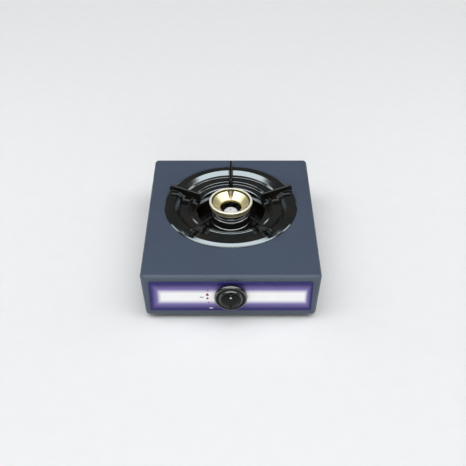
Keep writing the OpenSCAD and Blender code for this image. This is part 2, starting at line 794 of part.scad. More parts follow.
// Barbed brass nozzle through the rear panel; its bore opens to the pipe
module hose_nozzle() {
    hex_r = 9;
    hex_t = 6;
    plain = 9;
    barb_rise = 0.9;
    barb_len = (nozzle_reach + shell_t - hex_t - plain - 1) / 2;
    y_hex = rear_y - shell_t;
    color([0.8, 0.64, 0.32]) difference() {
        union() {
            y_rod(-inlet_x, nozzle_y0, knob_z, nozzle_thread_r, y_hex - nozzle_y0);
            translate([-inlet_x, y_hex, knob_z]) rotate([-90, 0, 0]) cylinder(h = hex_t, r = hex_r, $fn = 6);
            y_rod(-inlet_x, y_hex + hex_t, knob_z, nozzle_r, plain);
            for (i = [0, 1])
                y_rod(-inlet_x, y_hex + hex_t + plain + i * barb_len, knob_z,
                      nozzle_r, barb_len, nozzle_r - barb_rise);
            y_rod(-inlet_x, y_hex + hex_t + plain + 2 * barb_len, knob_z, nozzle_r - barb_rise, 1);
        }
        y_rod(-inlet_x, nozzle_y0 + 6 - over, knob_z, nozzle_bore_r, nozzle_reach + 40);
        y_rod(-inlet_x, nozzle_y0 - over, knob_z, pipe_r, 6 + over);
    }
}

module nozzle_nut() {
    color([0.8, 0.64, 0.32]) translate([-inlet_x, rear_y - shell_t - panel_t - 5, knob_z]) rotate([-90, 0, 0])
        difference() {
            cylinder(h = 5, r = 10, $fn = 6);
            translate([0, 0, -over]) cylinder(h = 5 + 2 * over, r = nozzle_thread_r);
        }
}

// Brass injector in the valve's rear end
module gas_jet() {
    color([0.8, 0.64, 0.32]) difference() {
        union() {
            y_rod(0, valve_y2 - jet_thread_len, tube_z, jet_thread_r, jet_thread_len);
            translate([0, valve_y2, tube_z]) rotate([-90, 0, 0]) cylinder(h = 6, r = jet_r, $fn = 6);
            y_rod(0, valve_y2 + 6, tube_z, jet_r - 1, jet_len - 6, 2);
        }
        y_rod(0, valve_y2 - jet_thread_len - over, tube_z, 1.5, jet_thread_len + jet_len - 1);
        y_rod(0, valve_y2, tube_z, jet_bore_r, jet_len + over);
    }
}

// --- Burner

// Cast tube from the jet to the burner bowl, belled at its mouth, with air ports in the bell's face
module mixing_tube() {
    y1 = burner_y - bowl_r + bowl_wall;
    color([0.35, 0.35, 0.36]) difference() {
        union() {
            y_rod(0, tube_y0, tube_z, bell_r, 8);
            y_rod(0, tube_y0 + 8, tube_z, bell_r, bell_len, tube_r);
            y_rod(0, tube_y0 + 8 + bell_len, tube_z, tube_r, y1 - tube_y0 - 8 - bell_len);
        }
        y_rod(0, tube_y0 + 8, tube_z, bell_r - 2, bell_len, tube_bore_r);
        y_rod(0, tube_y0 + 2.5, tube_z, bell_r - 2, 5.51);
        y_rod(0, tube_y0 + 8 + bell_len - 0.01, tube_z, tube_bore_r, y1 - tube_y0 - bell_len);
        y_rod(0, tube_y0 - over, tube_z, shutter_bore_r, 5);
        air_ports(tube_y0 - over, 4 + over);
    }
}

// Four air holes around the jet's axis
module air_ports(y, len) {
    for (i = [0:3])
        let (a = 90 * i + 45)
            y_rod(air_port_pitch_r * cos(a), y, tube_z + air_port_pitch_r * sin(a), air_port_r, len);
}

// Disc that turns on the mixing tube's face to open or close its air ports
module air_shutter() {
    y = tube_y0 - shutter_gap - shutter_t;
    color([0.75, 0.76, 0.78]) {
        difference() {
            union() {
                y_rod(0, y, tube_z, shutter_r, shutter_t);
                translate([-3, y, tube_z - shutter_r - 8]) cube([6, shutter_t, 12]);
            }
            y_rod(0, y - over, tube_z, shutter_bore_r - 1, shutter_t + 2 * over);
            air_ports(y - over, shutter_t + 2 * over);
        }
        difference() {
            y_rod(0, y + shutter_t, tube_z, shutter_bore_r - run_fit, shutter_gap + 3);
            y_rod(0, y + shutter_t - over, tube_z, shutter_bore_r - 1, shutter_gap + 3 + 2 * over);
        }
    }
}

module burner_bowl() {
    inner = bowl_r - bowl_wall;
    color([0.08, 0.08, 0.09]) difference() {
        burner_turned(concat(
            [[0, bowl_floor_z], [bowl_r - 4, bowl_floor_z], [bowl_r, bowl_floor_z + 4],
             [bowl_r, bowl_flange_z - 2]],
            arc(bowl_flange_r - 1.6, bowl_flange_z, 1.6, -90, 90, 6),
            [[bowl_r, bowl_flange_z + 3]],
            arc(bowl_r - 2.5, shoulder_z - 1.5, 2.5, 0, 80, 5),
            arc(neck_r + 3.5, shoulder_z + 4.5, 3.5, 250, 180, 6),
            [[neck_r, bowl_top], [seat_r, bowl_top], [seat_r, shoulder_z + 2],
             [inner, shoulder_z - 6], [inner, bowl_floor_z + bowl_wall + 3],
             [inner - 3, bowl_floor_z + bowl_wall], [0, bowl_floor_z + bowl_wall]]));
        y_rod(0, burner_y - bowl_r - over, tube_z, tube_r, bowl_wall + over);
        y_rod(0, burner_y - bowl_r, tube_z, tube_bore_r, bowl_wall + 3);
        for (s = [-1, 1]) translate([s * stand_leg_x, burner_y, bowl_floor_z - over])
            cylinder(h = bowl_wall, r = screw_r, $fn = fine_fn);
    }
}

// Bridge of folded strip that stands on the bar and carries the bowl
module burner_stand() {
    y0 = burner_y - 10;
    color([0.6, 0.62, 0.64]) difference() {
        union() {
            translate([-stand_leg_x - 6, y0, bowl_floor_z - stand_t])
                cube([2 * stand_leg_x + 12, 20, stand_t]);
            for (s = [-1, 1])
                translate([s * (bar_screw_x + 5) - stand_t / 2, y0, bar_z1])
                    cube([stand_t, 20, bowl_floor_z - stand_t - bar_z1]);
            translate([-bar_screw_x - 5, y0, bar_z1]) cube([2 * bar_screw_x + 10, 20, stand_t]);
        }
        for (s = [-1, 1]) {
            translate([s * stand_leg_x, burner_y, bowl_floor_z - stand_t - over])
                cylinder(h = stand_t + 2 * over, r = screw_r + screw_fit, $fn = fine_fn);
            translate([s * bar_screw_x, burner_y, bar_z1 - over])
                cylinder(h = stand_t + 2 * over, r = screw_r + screw_fit, $fn = fine_fn);
        }
    }
}

module stand_screws() {
    color("silver") for (s = [-1, 1]) {
        translate([s * stand_leg_x, burner_y, bowl_floor_z - stand_t]) screw(stand_t + bowl_wall - 1);
        translate([s * bar_screw_x, burner_y, bar_z1 + stand_t]) mirror([0, 0, 1]) screw(stand_t + bar_t);
        for (y = [front_rail_y, rear_rail_y])
            translate([s * bar_screw_x, y, bar_z1]) mirror([0, 0, 1]) screw(bar_t + rail_t + 2);
    }
}

// Bright dome on a post in the middle of the bowl
module centre_dome() {
    color([0.82, 0.85, 0.88]) difference() {
        union() {
            burner_turned(concat([[0, dome_top - dome_h], [dome_r, dome_top - dome_h]],
                ellipse(0, dome_top - dome_h + 1, dome_r, dome_h - 1, 0, 90, 10)));
            translate([0, burner_y, bowl_floor_z + bowl_wall])
                cylinder(h = dome_top - dome_h - bowl_floor_z - bowl_wall, r = 4);
        }
        translate([0, burner_y, dome_top - dome_h + 1]) cylinder(h = dome_h + over, r = dome_hole_r);
    }
}

module burner_cap() {
    skirt_r = cap_skirt_r;
    rim_z1 = top_z + cap_z;
    rim_z0 = rim_z1 - cap_rim_t;
    foot_z1 = cap_foot_z0 + cap_foot_t;
    cone_top = rim_z1 - 1.2 - funnel_step;
    cone_slope = (cone_top - top_z + 4) / (funnel_top_r - funnel_hole_r);
    hole_z = max(top_z - 4, cap_foot_z0 + cap_cone_wall - (skirt_r - funnel_hole_r) * cone_slope);
    slot_z0 = skirt_r > funnel_hole_r + 3 + slot_r ? hole_z - 1 : cap_foot_z0 + 0.8;
    color([0.82, 0.68, 0.36]) difference() {
        burner_turned(concat(
            [[skirt_r, cap_foot_z0 - cap_skirt_len], [skirt_r, cap_foot_z0],
             [cap_foot_r, cap_foot_z0], [cap_foot_r, foot_z1], [cap_waist_r, foot_z1 + 0.6],
             [cap_waist_r, rim_z0 - 1.5], [cap_r - 1, rim_z0]],
            arc(cap_r - 1.5, rim_z1 - 1.5, 1.5, 0, 90, 4),
            [[funnel_rim_r + 0.8, rim_z1], [funnel_rim_r, rim_z1 - 0.8],
             [funnel_rim_r, rim_z1 - 0.8 - funnel_step], [funnel_top_r, cone_top],
             [funnel_hole_r, hole_z], [funnel_hole_r, cap_foot_z0 - cap_skirt_len]]));
        for (i = [0:2]) translate([0, burner_y, 0]) rotate([0, 0, 90 + 120 * i])
            translate([funnel_hole_r + 3, 0, slot_z0]) cylinder(h = 2 * cap_z, r = slot_r);
        for (i = [0:port_count - 1]) translate([0, burner_y, (foot_z1 + rim_z0) / 2 - 0.2])
            rotate([0, 0, 360 * (i + 0.5) / port_count]) translate([cap_waist_r - 2, 0, 0])
                rotate([0, 90, 0]) cylinder(h = 4, r = port_r, $fn = fine_fn);
    }
}

// --- Drip tray and pan support

// Sloping wall and flange of the tray
module drip_tray() {
    color([0.04, 0.04, 0.05]) burner_turned([
        [tray_floor_r, tray_z], [tray_wall_r - tray_t - 3, top_z - 6],
        [tray_wall_r - tray_t, top_z - 3], [tray_wall_r - tray_t, tray_flange_z],
        [tray_flange_r, tray_flange_z], [tray_flange_r, tray_flange_z + tray_t],
        [tray_wall_r - 2 * tray_t, tray_flange_z + tray_t], [tray_wall_r - 2 * tray_t, top_z - 2.6],
        [tray_wall_r - 2 * tray_t - 3, top_z - 5.6], [tray_floor_r, tray_z + tray_t]]);
}

// Floor of the tray, seamed to its wall, with a raised lip round the burner and a notch for the electrode
module tray_floor() {
    lip = tray_hole_lip;
    color([0.04, 0.04, 0.05]) difference() {
        burner_turned([
            [tray_hole_r, tray_z + tray_lip_h], [tray_hole_r, tray_z + lip], [tray_hole_r + lip, tray_z],
            [tray_floor_r, tray_z], [tray_floor_r, tray_z + tray_t],
            [tray_hole_r + lip + 0.4, tray_z + tray_t], [tray_hole_r + tray_t, tray_z + lip + 0.4],
            [tray_hole_r + tray_t, tray_z + tray_lip_h]]);
        translate([0, burner_y + electrode_back, tray_z - over])
            cylinder(h = tray_lip_h + 2 * over, r = tray_port_r, $fn = fine_fn);
    }
}

// Points of a smooth slope from (r0, z0) to (r1, z1), level at both ends
function s_slope(r0, z0, r1, z1, n = 10) =
    [for (i = [0:n]) let (t = i / n) [r0 + (r1 - r0) * t, z1 + (z0 - z1) * (1 + cos(180 * t)) / 2]];

// Upper outline of the ring, from its outside edge inwards
function ring_top() = concat(
    ellipse(rim_in_r, ring_z, rim_w, rim_h - lift_gap, 0, 90, 12),
    s_slope(land_r, top_z + rim_h, trough_r1, trough_z),
    [[trough_r0, trough_z]],
    arc(bead_r, bead_z - 1.6, 1.6, 60, 140, 5),
    [[ring_in_r, ring_in_z]]);

// Under side of the ring, from its inside edge outwards
function ring_under() = concat(
    [[ring_in_r - 0.6, ring_in_z - 1], [bead_r - 1, bead_z - enamel_t - 1.2],
     [trough_r0, trough_z - enamel_t]],
    s_slope(trough_r1 + 0.6, trough_z - enamel_t, land_r + 0.6, top_z + rim_h - enamel_t),
    ellipse(rim_in_r, ring_z, rim_w - enamel_t, rim_h - lift_gap - enamel_t, 90, 0, 8));

module pan_ring() {
    color([0.05, 0.05, 0.06]) burner_turned(concat(ring_top(), ring_under()));
}

// One arm, at its own place around the ring, cut to sit on the ring's upper face
module pan_arm(i) {
    angle = 90 + 360 * (i - 1) / arm_count;
    shoulder_h = 12;
    foot_z = top_z - shoulder_h;
    color([0.05, 0.05, 0.06]) translate([0, burner_y, 0]) difference() {
        rotate([0, 0, angle]) intersection() {
            rotate([90, 0, 0]) linear_extrude(2 * arm_foot_w, center = true) polygon(concat(
                [[ring_r - 2, foot_z]],
                arc(nose_c_r, top_z + arm_nose_z - nose_r, nose_r, 0, 110, 8),
                [[arm_tip_r + 1, top_z + arm_tip_z], [arm_tip_r, top_z + arm_tip_z - 1.5],
                 [ring_in_r + 1, ring_in_z + 2], [ring_in_r + 3, foot_z]]));
            translate([0, 0, foot_z]) rotate([90, 0, 90]) linear_extrude(ring_r) polygon([
                [-arm_foot_w / 2, 0], [arm_foot_w / 2, 0], [arm_foot_w / 2, shoulder_h],
                [arm_top_w / 2, shoulder_h + arm_tip_z - 2], [arm_top_w / 2, shoulder_h + arm_nose_z + over],
                [-arm_top_w / 2, shoulder_h + arm_nose_z + over],
                [-arm_top_w / 2, shoulder_h + arm_tip_z - 2],
                [-arm_foot_w / 2, shoulder_h]]);
        }
        rotate_extrude() polygon(concat(
            [[ring_r + over, ring_z]], ring_top(),
            [[ring_in_r, foot_z - over], [ring_r + over, foot_z - over]]));
        translate([0, 0, foot_z - 2 * over]) cylinder(h = ring_in_z - foot_z + 2 * over, r = ring_in_r);
    }
}

module pan_arm_1() { pan_arm(1); }
module pan_arm_2() { pan_arm(2); }
module pan_arm_3() { pan_arm(3); }
module pan_arm_4() { pan_arm(4); }
module pan_arm_5() { pan_arm(5); }

body_shell();
body_side_left();
body_side_right();
rear_panel();
rear_panel_screws();
front_rail();
rear_rail();
burner_bar();
foot_front_left();
foot_front_right();
foot_rear_left();
foot_rear_right();
fascia();
valve_bonnet();
valve_screws();
valve_body();
valve_plug();
valve_spindle();
spindle_spring();
knob();
knob_insert();
knob_pointer();
igniter_housing();
igniter_hammer();
igniter_spring();
piezo_element();
ignition_lead();
electrode_ceramic();
electrode_pin();
electrode_clip();
inlet_pipe();
hose_nozzle();
nozzle_nut();
gas_jet();
mixing_tube();
air_shutter();
burner_bowl();
burner_stand();
stand_screws();
centre_dome();
burner_cap();
drip_tray();
tray_floor();
pan_ring();
pan_arm_1();
pan_arm_2();
pan_arm_3();
pan_arm_4();
pan_arm_5();
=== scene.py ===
"""Finished surfaces, materials and stage for a table-top gas stove, built around its CAD frame."""

import math

import bpy
import numpy as np
from bpy.props import FloatProperty, FloatVectorProperty, IntProperty, PointerProperty
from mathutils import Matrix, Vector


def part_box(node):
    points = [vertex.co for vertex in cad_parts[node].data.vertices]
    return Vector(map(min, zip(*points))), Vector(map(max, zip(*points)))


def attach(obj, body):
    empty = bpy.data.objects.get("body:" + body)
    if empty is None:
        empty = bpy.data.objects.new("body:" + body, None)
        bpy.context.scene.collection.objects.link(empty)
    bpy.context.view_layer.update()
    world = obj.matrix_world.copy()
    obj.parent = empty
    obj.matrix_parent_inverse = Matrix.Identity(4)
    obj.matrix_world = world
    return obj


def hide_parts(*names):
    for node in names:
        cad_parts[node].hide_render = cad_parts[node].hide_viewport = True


bl_info = {
    "name": "Table Gas Stove",
    "version": (1, 0, 0),
    "blender": (4, 5, 0),
    "location": "View3D > Sidebar > Stove",
    "description": "Finished surfaces for a table-top gas stove with one burner",
    "category": "Add Mesh",
}

MM = 0.001
SCREW_HEAD_R, SCREW_HEAD_H = 3.8 * MM, 2 * MM
CAP_SLOTS, CAP_PORTS, PORT_R = 3, 24, 1 * MM

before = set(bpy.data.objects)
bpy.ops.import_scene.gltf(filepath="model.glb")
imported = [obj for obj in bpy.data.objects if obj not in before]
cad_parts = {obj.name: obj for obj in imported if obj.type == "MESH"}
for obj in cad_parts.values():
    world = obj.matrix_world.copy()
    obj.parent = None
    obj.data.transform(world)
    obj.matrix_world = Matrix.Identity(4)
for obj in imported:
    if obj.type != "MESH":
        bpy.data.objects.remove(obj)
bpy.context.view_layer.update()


# --- Places taken from the frame


def extent(*nodes):
    """Lowest and highest corner of one or more CAD nodes together."""
    boxes = [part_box(n) for n in nodes]
    low = np.min([b[0] for b in boxes], axis=0)
    high = np.max([b[1] for b in boxes], axis=0)
    return low, high


BODY_LOW, BODY_HIGH = extent("body_shell", "body_side_left", "body_side_right")
CAP_LOW, CAP_HIGH = extent("burner_cap")
RING_LOW, RING_HIGH = extent("pan_ring")
KNOB_LOW, KNOB_HIGH = extent("knob")
PLATE_LOW, PLATE_HIGH = extent("fascia")
ARM_NODES = sorted(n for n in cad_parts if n.startswith("pan_arm"))
FOOT_NODES = sorted(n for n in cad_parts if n.startswith("foot_"))
TOP_Z = float(BODY_HIGH[2])
BURNER = (0.0, float((CAP_LOW[1] + CAP_HIGH[1]) / 2))
KNOB_Z = float((KNOB_LOW[2] + KNOB_HIGH[2]) / 2)


def display(red, green, blue):
    """Linear colour of an 8-bit display colour."""
    share = np.array([red, green, blue]) / 255
    linear = np.where(share <= 0.04045, share / 12.92, ((share + 0.055) / 1.055) ** 2.4)
    return tuple(float(v) for v in linear)


def colour_property(name, description, default):
    return FloatVectorProperty(
        name=name, description=description, default=default, subtype="COLOR", min=0, max=1
    )


def length_property(name, description, default):
    return FloatProperty(name=name, description=description, default=default, unit="LENGTH", min=0)


# --- Settings


class StoveBodySettings(bpy.types.PropertyGroup):
    """Sizes and colours of the pressed body and its fascia plate."""

    top_bend: length_property("Top bend", "Radius where the top turns down into a wall", 6 * MM)
    foot_bend: length_property("Bottom bend", "Radius where a wall turns in to the lip", 4 * MM)
    corner: length_property("Corner radius", "Radius of the upright corners", 8 * MM)
    draft: length_property("Side draft", "How far each side leans in from top to bottom", 4.9 * MM)
    lip: length_property("Bottom lip", "Width of the lip that turns in at the bottom", 22 * MM)
    sheet: length_property("Sheet thickness", "Thickness of the pressed sheet", 1 * MM)
    well_radius: length_property("Well radius", "Radius of the hole in the top", 104 * MM)
    paint: colour_property("Paint", "Ground colour of the coating", display(66, 76, 92))
    paint_fleck: colour_property("Fleck", "Light flecks in the coating", display(103, 113, 134))
    plate_edge: colour_property("Plate edge", "Print at the plate's border", display(46, 40, 104))
    plate_middle: colour_property("Plate band", "Print between border and white", display(132, 119, 178))
    plate_white: colour_property("Plate white", "White middle of the print", display(255, 255, 255))


class StoveBurnerSettings(bpy.types.PropertyGroup):
    """Sizes and colours of the burner, its well and the pan support."""

    rim_width: length_property("Rim width", "Width of the ring's rounded rim", 14.2 * MM)
    enamel_sheet: length_property("Ring sheet", "Thickness of the enamelled ring", 1.5 * MM)
    arm_crest: length_property("Arm crest", "Width of an arm along its top", 4.6 * MM)
    arm_foot: length_property("Arm foot", "Width of an arm where it meets the ring", 9.5 * MM)
    turn_steps: IntProperty(name="Steps round", description="Facets round a turned piece", default=256)
    brass: colour_property("Brass", "Colour of the burner cap", (0.90, 0.81, 0.50))
    enamel: colour_property("Enamel", "Colour of the black enamel", (0.004, 0.0035, 0.003))
    iron_paint: colour_property("Iron paint", "Colour of the painted bowl", (0.012, 0.013, 0.015))
    bright: colour_property("Bright steel", "Colour of the dome", (0.95, 0.97, 1.0))


class StoveStageSettings(bpy.types.PropertyGroup):
    """Camera, lights and floor."""

    camera_back: length_property("Camera distance", "From the front wall out to the camera", 867.6 * MM)
    camera_up: length_property("Camera height", "From the top up to the camera", 818.7 * MM)
    camera_pitch: FloatProperty(
        name="Camera pitch", description="Angle below the horizon", default=math.radians(39.9),
        unit="ROTATION"
    )
    lens: FloatProperty(name="Lens", description="Focal length in millimetres on a 36 mm sensor",
                        default=56.4)
    camera_shift: FloatProperty(name="Shift", description="Sideways shift of the picture", default=0.0047)
    floor: colour_property("Floor", "Colour of the floor", (0.80, 0.80, 0.80))
    sky_low: FloatProperty(name="Dim sky", description="Strength of the light from all round", default=0.07)
    sky_high: FloatProperty(name="Bright sky", description="Strength of the soft light overhead", default=3.1)
    sky_lean: FloatProperty(
        name="Lean", description="How far the bright light leans from overhead to the front",
        default=math.radians(12), unit="ROTATION"
    )
    sky_wide: FloatProperty(
        name="Width", description="Half width of the bright light, left to right", default=math.radians(50),
        unit="ROTATION"
    )
    sky_deep: FloatProperty(
        name="Depth", description="Half depth of the bright light, front to back", default=math.radians(22),
        unit="ROTATION"
    )
    side: FloatProperty(name="Side lights", description="Power of each side lamp, in watts", default=1.5)
    front: FloatProperty(name="Front light", description="Power of the low lamp in front, in watts",
                         default=10.0)


# --- Curves and outlines


def arc(cx, cy, radius, start, end, steps=8):
    """Points of a circle about (cx, cy) from angle start to end in degrees, as rows."""
    angle = np.radians(np.linspace(start, end, steps + 1))
    return np.stack([cx + radius * np.cos(angle), cy + radius * np.sin(angle)], 1)


def rounded_path(corners, radii, closed=True, steps=6):
    """Polyline with each corner replaced by an arc that touches both of its sides.

    The arc of radius r at a corner whose sides meet at the angle 2h starts r / tan(h) from the corner.
    """
    corners = np.asarray(corners, float)
    radii = np.broadcast_to(np.asarray(radii, float), len(corners))
    rows = []
    for i, (corner, radius) in enumerate(zip(corners, radii)):
        if radius <= 0 or (not closed and i in (0, len(corners) - 1)):
            rows.append(corner[None])
            continue
        to_a, to_b = corners[i - 1] - corner, corners[(i + 1) % len(corners)] - corner
        len_a, len_b = np.linalg.norm(to_a), np.linalg.norm(to_b)
        a, b = to_a / len_a, to_b / len_b
        half = math.acos(np.clip(a @ b, -1, 1)) / 2
        if half > math.radians(88.5):
            rows.append(corner[None])
            continue
        back = min(radius / math.tan(half), 0.48 * len_a, 0.48 * len_b)
        radius = back * math.tan(half)
        centre = corner + (a + b) / np.linalg.norm(a + b) * radius / math.sin(half)
        first, last = corner + a * back - centre, corner + b * back - centre
        sweep = math.pi - 2 * half
        share = np.linspace(0, 1, steps + 1)[:, None]
        turned = (np.sin((1 - share) * sweep) * first + np.sin(share * sweep) * last) / math.sin(sweep)
        rows.append(centre + turned)
    return np.concatenate(rows)


def slope(r0, z0, r1, z1, steps=14):
    """A smooth step from (r0, z0) to (r1, z1), level at both ends: z follows half a cosine wave."""
    share = np.linspace(0, 1, steps + 1)
    return np.stack([r0 + (r1 - r0) * share, z1 + (z0 - z1) * (1 + np.cos(np.pi * share)) / 2], 1)


def oval_arc(cx, cy, rx, ry, start, end, steps=16):
    """Points of an ellipse about (cx, cy) from angle start to end in degrees."""
    return arc(0, 0, 1, start, end, steps) * (rx, ry) + (cx, cy)


def rounded_box(half_w, half_d, radius, side_steps=24, corner_steps=8):
    """Outline of a rectangle with round corners, anticlockwise; the same steps give matching points."""
    bends = [arc(sx * (half_w - radius), sy * (half_d - radius), radius, 90 * k, 90 * k + 90, corner_steps)
             for k, (sx, sy) in enumerate([(1, 1), (-1, 1), (-1, -1), (1, -1)])]
    share = np.linspace(0, 1, side_steps + 2)[1:-1, None]
    parts = []
    for bend, following in zip(bends, bends[1:] + bends[:1]):
        parts += [bend, bend[-1] + (following[0] - bend[-1]) * share]
    return np.concatenate(parts)


def upright(outline, y):
    """A flat outline of (x, z) rows as points that stand upright at depth y."""
    return np.column_stack([outline[:, 0], np.full(len(outline), y), outline[:, 1]])


# --- Meshes


def grid_faces(rows, cols, wrap_rows, wrap_cols):
    """Quads between neighbouring points of a grid of rows by cols, numbered along the rows."""
    r = np.arange(rows if wrap_rows else rows - 1)[:, None]
    c = np.arange(cols if wrap_cols else cols - 1)[None, :]
    r1, c1 = (r + 1) % rows, (c + 1) % cols
    return np.stack([r * cols + c, r * cols + c1, r1 * cols + c1, r1 * cols + c], -1).reshape(-1, 4)


def enclosed_volume(points, faces):
    """Signed volume inside a closed surface: the sum over its triangles of a . (b x c) / 6."""
    total = 0.0
    for group in faces:
        for k in range(1, group.shape[1] - 1):
            a, b, c = points[group[:, 0]], points[group[:, k]], points[group[:, k + 1]]
            total += float(np.einsum("ij,ij->i", a, np.cross(b, c)).sum()) / 6
    return total


def piece_from(name, points, faces, sharp=None):
    """A smooth-shaded object from points and arrays of faces, turned to face outwards.

    Edges that bend by more than the angle sharp, in degrees, stay crisp.
    """
    points = np.asarray(points, float).reshape(-1, 3)
    faces = [np.asarray(f) for f in faces if len(f)]
    if enclosed_volume(points, faces) < 0:
        faces = [f[:, ::-1] for f in faces]
    mesh = bpy.data.meshes.new(name)
    mesh.vertices.add(len(points))
    mesh.vertices.foreach_set("co", points.astype(np.float32).ravel())
    sizes = np.concatenate([np.full(len(f), f.shape[1]) for f in faces])
    corners = np.concatenate([f.ravel() for f in faces])
    mesh.loops.add(len(corners))
    mesh.loops.foreach_set("vertex_index", corners.astype(np.int32))
    mesh.polygons.add(len(sizes))
    mesh.polygons.foreach_set("loop_start", np.concatenate([[0], np.cumsum(sizes)[:-1]]).astype(np.int32))
    mesh.update(calc_edges=True)
    mesh.validate()
    mesh.shade_smooth()
    if sharp:
        mesh.set_sharp_from_angle(angle=math.radians(sharp))
    obj = bpy.data.objects.new(name, mesh)
    bpy.context.scene.collection.objects.link(obj)
    return obj


def loft(rings, closed_rows=False, caps=True):
    """Points and faces of a surface through closed rings with the same number of points each.

    The rings' rows close on themselves, or flat caps close the first and last ring.
    """
    rings = np.asarray(rings, float)
    rows, cols = rings.shape[:2]
    faces = [grid_faces(rows, cols, closed_rows, True)]
    if caps and not closed_rows:
        faces.append(np.arange(cols)[None, ::-1])
        faces.append(((rows - 1) * cols + np.arange(cols))[None])
    return rings.reshape(-1, 3), faces


def lathe(profile, centre, steps=192, axis="Z"):
    """Points and faces of a turned piece: (r, h) goes to r cos a and r sin a across the axis and h along it.

    A profile that starts and ends on the axis gets a pole at each end; any other profile is closed on itself.
    """
    profile = np.asarray(profile, float)
    angle = 2 * np.pi * np.arange(steps) / steps
    across = np.stack([np.cos(angle), np.sin(angle)])[None]
    poles = profile[0, 0] < 1e-9 and profile[-1, 0] < 1e-9
    rings = profile[1:-1] if poles else profile
    u = centre[0] + rings[:, :1] * across[:, 0]
    v = centre[1] + rings[:, :1] * across[:, 1]
    h = np.broadcast_to(rings[:, 1:2], u.shape)
    grid = np.stack([u, v, h] if axis == "Z" else [u, h, v], -1)
    faces = [grid_faces(len(rings), steps, not poles, True)]
    points = grid.reshape(-1, 3)
    if poles:
        ends = [[centre[0], centre[1], profile[i, 1]] for i in (0, -1)]
        if axis != "Z":
            ends = [[e[0], e[2], e[1]] for e in ends]
        first, last = len(points), len(points) + 1
        points = np.concatenate([points, ends])
        c = np.arange(steps)
        c1 = (c + 1) % steps
        base = (len(rings) - 1) * steps
        faces.append(np.stack([np.full(steps, first), c1, c], 1))
        faces.append(np.stack([np.full(steps, last), base + c, base + c1], 1))
    return points, faces


def joined(*shells):
    """Several sets of points and faces as one set."""
    points, faces, shift = [], [], 0
    for pts, groups in shells:
        points.append(np.asarray(pts).reshape(-1, 3))
        faces += [np.asarray(g) + shift for g in groups]
        shift += len(points[-1])
    return np.concatenate(points), faces


def cut_out(piece, cutters, sharp=35):
    """Subtracts closed objects from a piece, then removes them."""
    for cutter in cutters:
        step = piece.modifiers.new("cut", "BOOLEAN")
        step.object = cutter
        step.solver = "EXACT"
    evaluated = piece.evaluated_get(bpy.context.evaluated_depsgraph_get())
    mesh = bpy.data.meshes.new_from_object(evaluated)
    piece.modifiers.clear()
    piece.data = mesh
    mesh.set_sharp_from_angle(angle=math.radians(sharp))
    for cutter in cutters:
        bpy.data.objects.remove(cutter)
    return piece


def place(piece, body, slot, finish, *nodes):
    """Gives a piece its material, lets it ride on a body and stand for CAD nodes; slot is not used."""
    piece.data.materials.clear()
    piece.data.materials.append(finish)
    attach(piece, body)
    if nodes:
        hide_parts(*nodes)
    return piece


def dress(finish, *nodes):
    """Gives CAD nodes that stay in view a finished material."""
    for name in nodes:
        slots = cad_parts[name].data.materials
        slots.clear()
        slots.append(finish)


# --- Shader building


def group_tree(name):
    """The shader node group of that name, made empty if it isn't there yet."""
    return bpy.data.node_groups.get(name) or bpy.data.node_groups.new(name, "ShaderNodeTree")


def group_sockets(tree, inputs, outputs):
    """Adds named sockets to a node group; a default of None makes a vector or colour."""
    for name, kind, default in inputs:
        socket = tree.interface.new_socket(name=name, in_out="INPUT", socket_type=kind)
        if default is not None:
            socket.default_value = default
    for name, kind in outputs:
        tree.interface.new_socket(name=name, in_out="OUTPUT", socket_type=kind)
    return tree.nodes.new("NodeGroupInput"), tree.nodes.new("NodeGroupOutput")


def math_node(nodes, links, operation, *values):
    """A Math node whose inputs are numbers or sockets; returns its output."""
    node = nodes.new("ShaderNodeMath")
    node.operation = operation
    for socket, value in zip(node.inputs, values):
        if isinstance(value, (int, float)):
            socket.default_value = value
        else:
            links.new(value, socket)
    return node.outputs[0]


def distance_node(nodes, links, a, b):
    """The root of a squared plus b squared."""
    squares = [math_node(nodes, links, "POWER", value, 2.0) for value in (a, b)]
    return math_node(nodes, links, "SQRT", math_node(nodes, links, "ADD", *squares))


def grain_group():
    """Two scales of noise: a fine mask and a coarse mask, both from 0 to 1."""
    tree = group_tree("grain")
    if tree.nodes:
        return tree
    enter, leave = group_sockets(
        tree,
        [("Vector", "NodeSocketVector", None), ("Fine", "NodeSocketFloat", 900.0),
         ("Coarse", "NodeSocketFloat", 18.0)],
        [("Fine", "NodeSocketFloat"), ("Coarse", "NodeSocketFloat")],
    )
    for label, detail in (("Fine", 4.0), ("Coarse", 3.0)):
        noise = tree.nodes.new("ShaderNodeTexNoise")
        noise.inputs["Detail"].default_value = detail
        tree.links.new(enter.outputs["Vector"], noise.inputs["Vector"])
        tree.links.new(enter.outputs[label], noise.inputs["Scale"])
        tree.links.new(noise.outputs["Fac"], leave.inputs[label])
    return tree


def fleck_group():
    """Small round flecks in cells of 1 / Scale: 1 at a cell's centre, falling to 0 at the distance Size."""
    tree = group_tree("flecks")
    if tree.nodes:
        return tree
    enter, leave = group_sockets(
        tree,
        [("Vector", "NodeSocketVector", None), ("Scale", "NodeSocketFloat", 1200.0),
         ("Size", "NodeSocketFloat", 0.35)],
        [("Mask", "NodeSocketFloat")],
    )
    cells = tree.nodes.new("ShaderNodeTexVoronoi")
    tree.links.new(enter.outputs["Vector"], cells.inputs["Vector"])
    tree.links.new(enter.outputs["Scale"], cells.inputs["Scale"])
    share = math_node(tree.nodes, tree.links, "DIVIDE", cells.outputs["Distance"], enter.outputs["Size"])
    fall = math_node(tree.nodes, tree.links, "SUBTRACT", 1.0, share)
    mask = math_node(tree.nodes, tree.links, "MAXIMUM", fall, 0.0)
    tree.links.new(mask, leave.inputs["Mask"])
    return tree


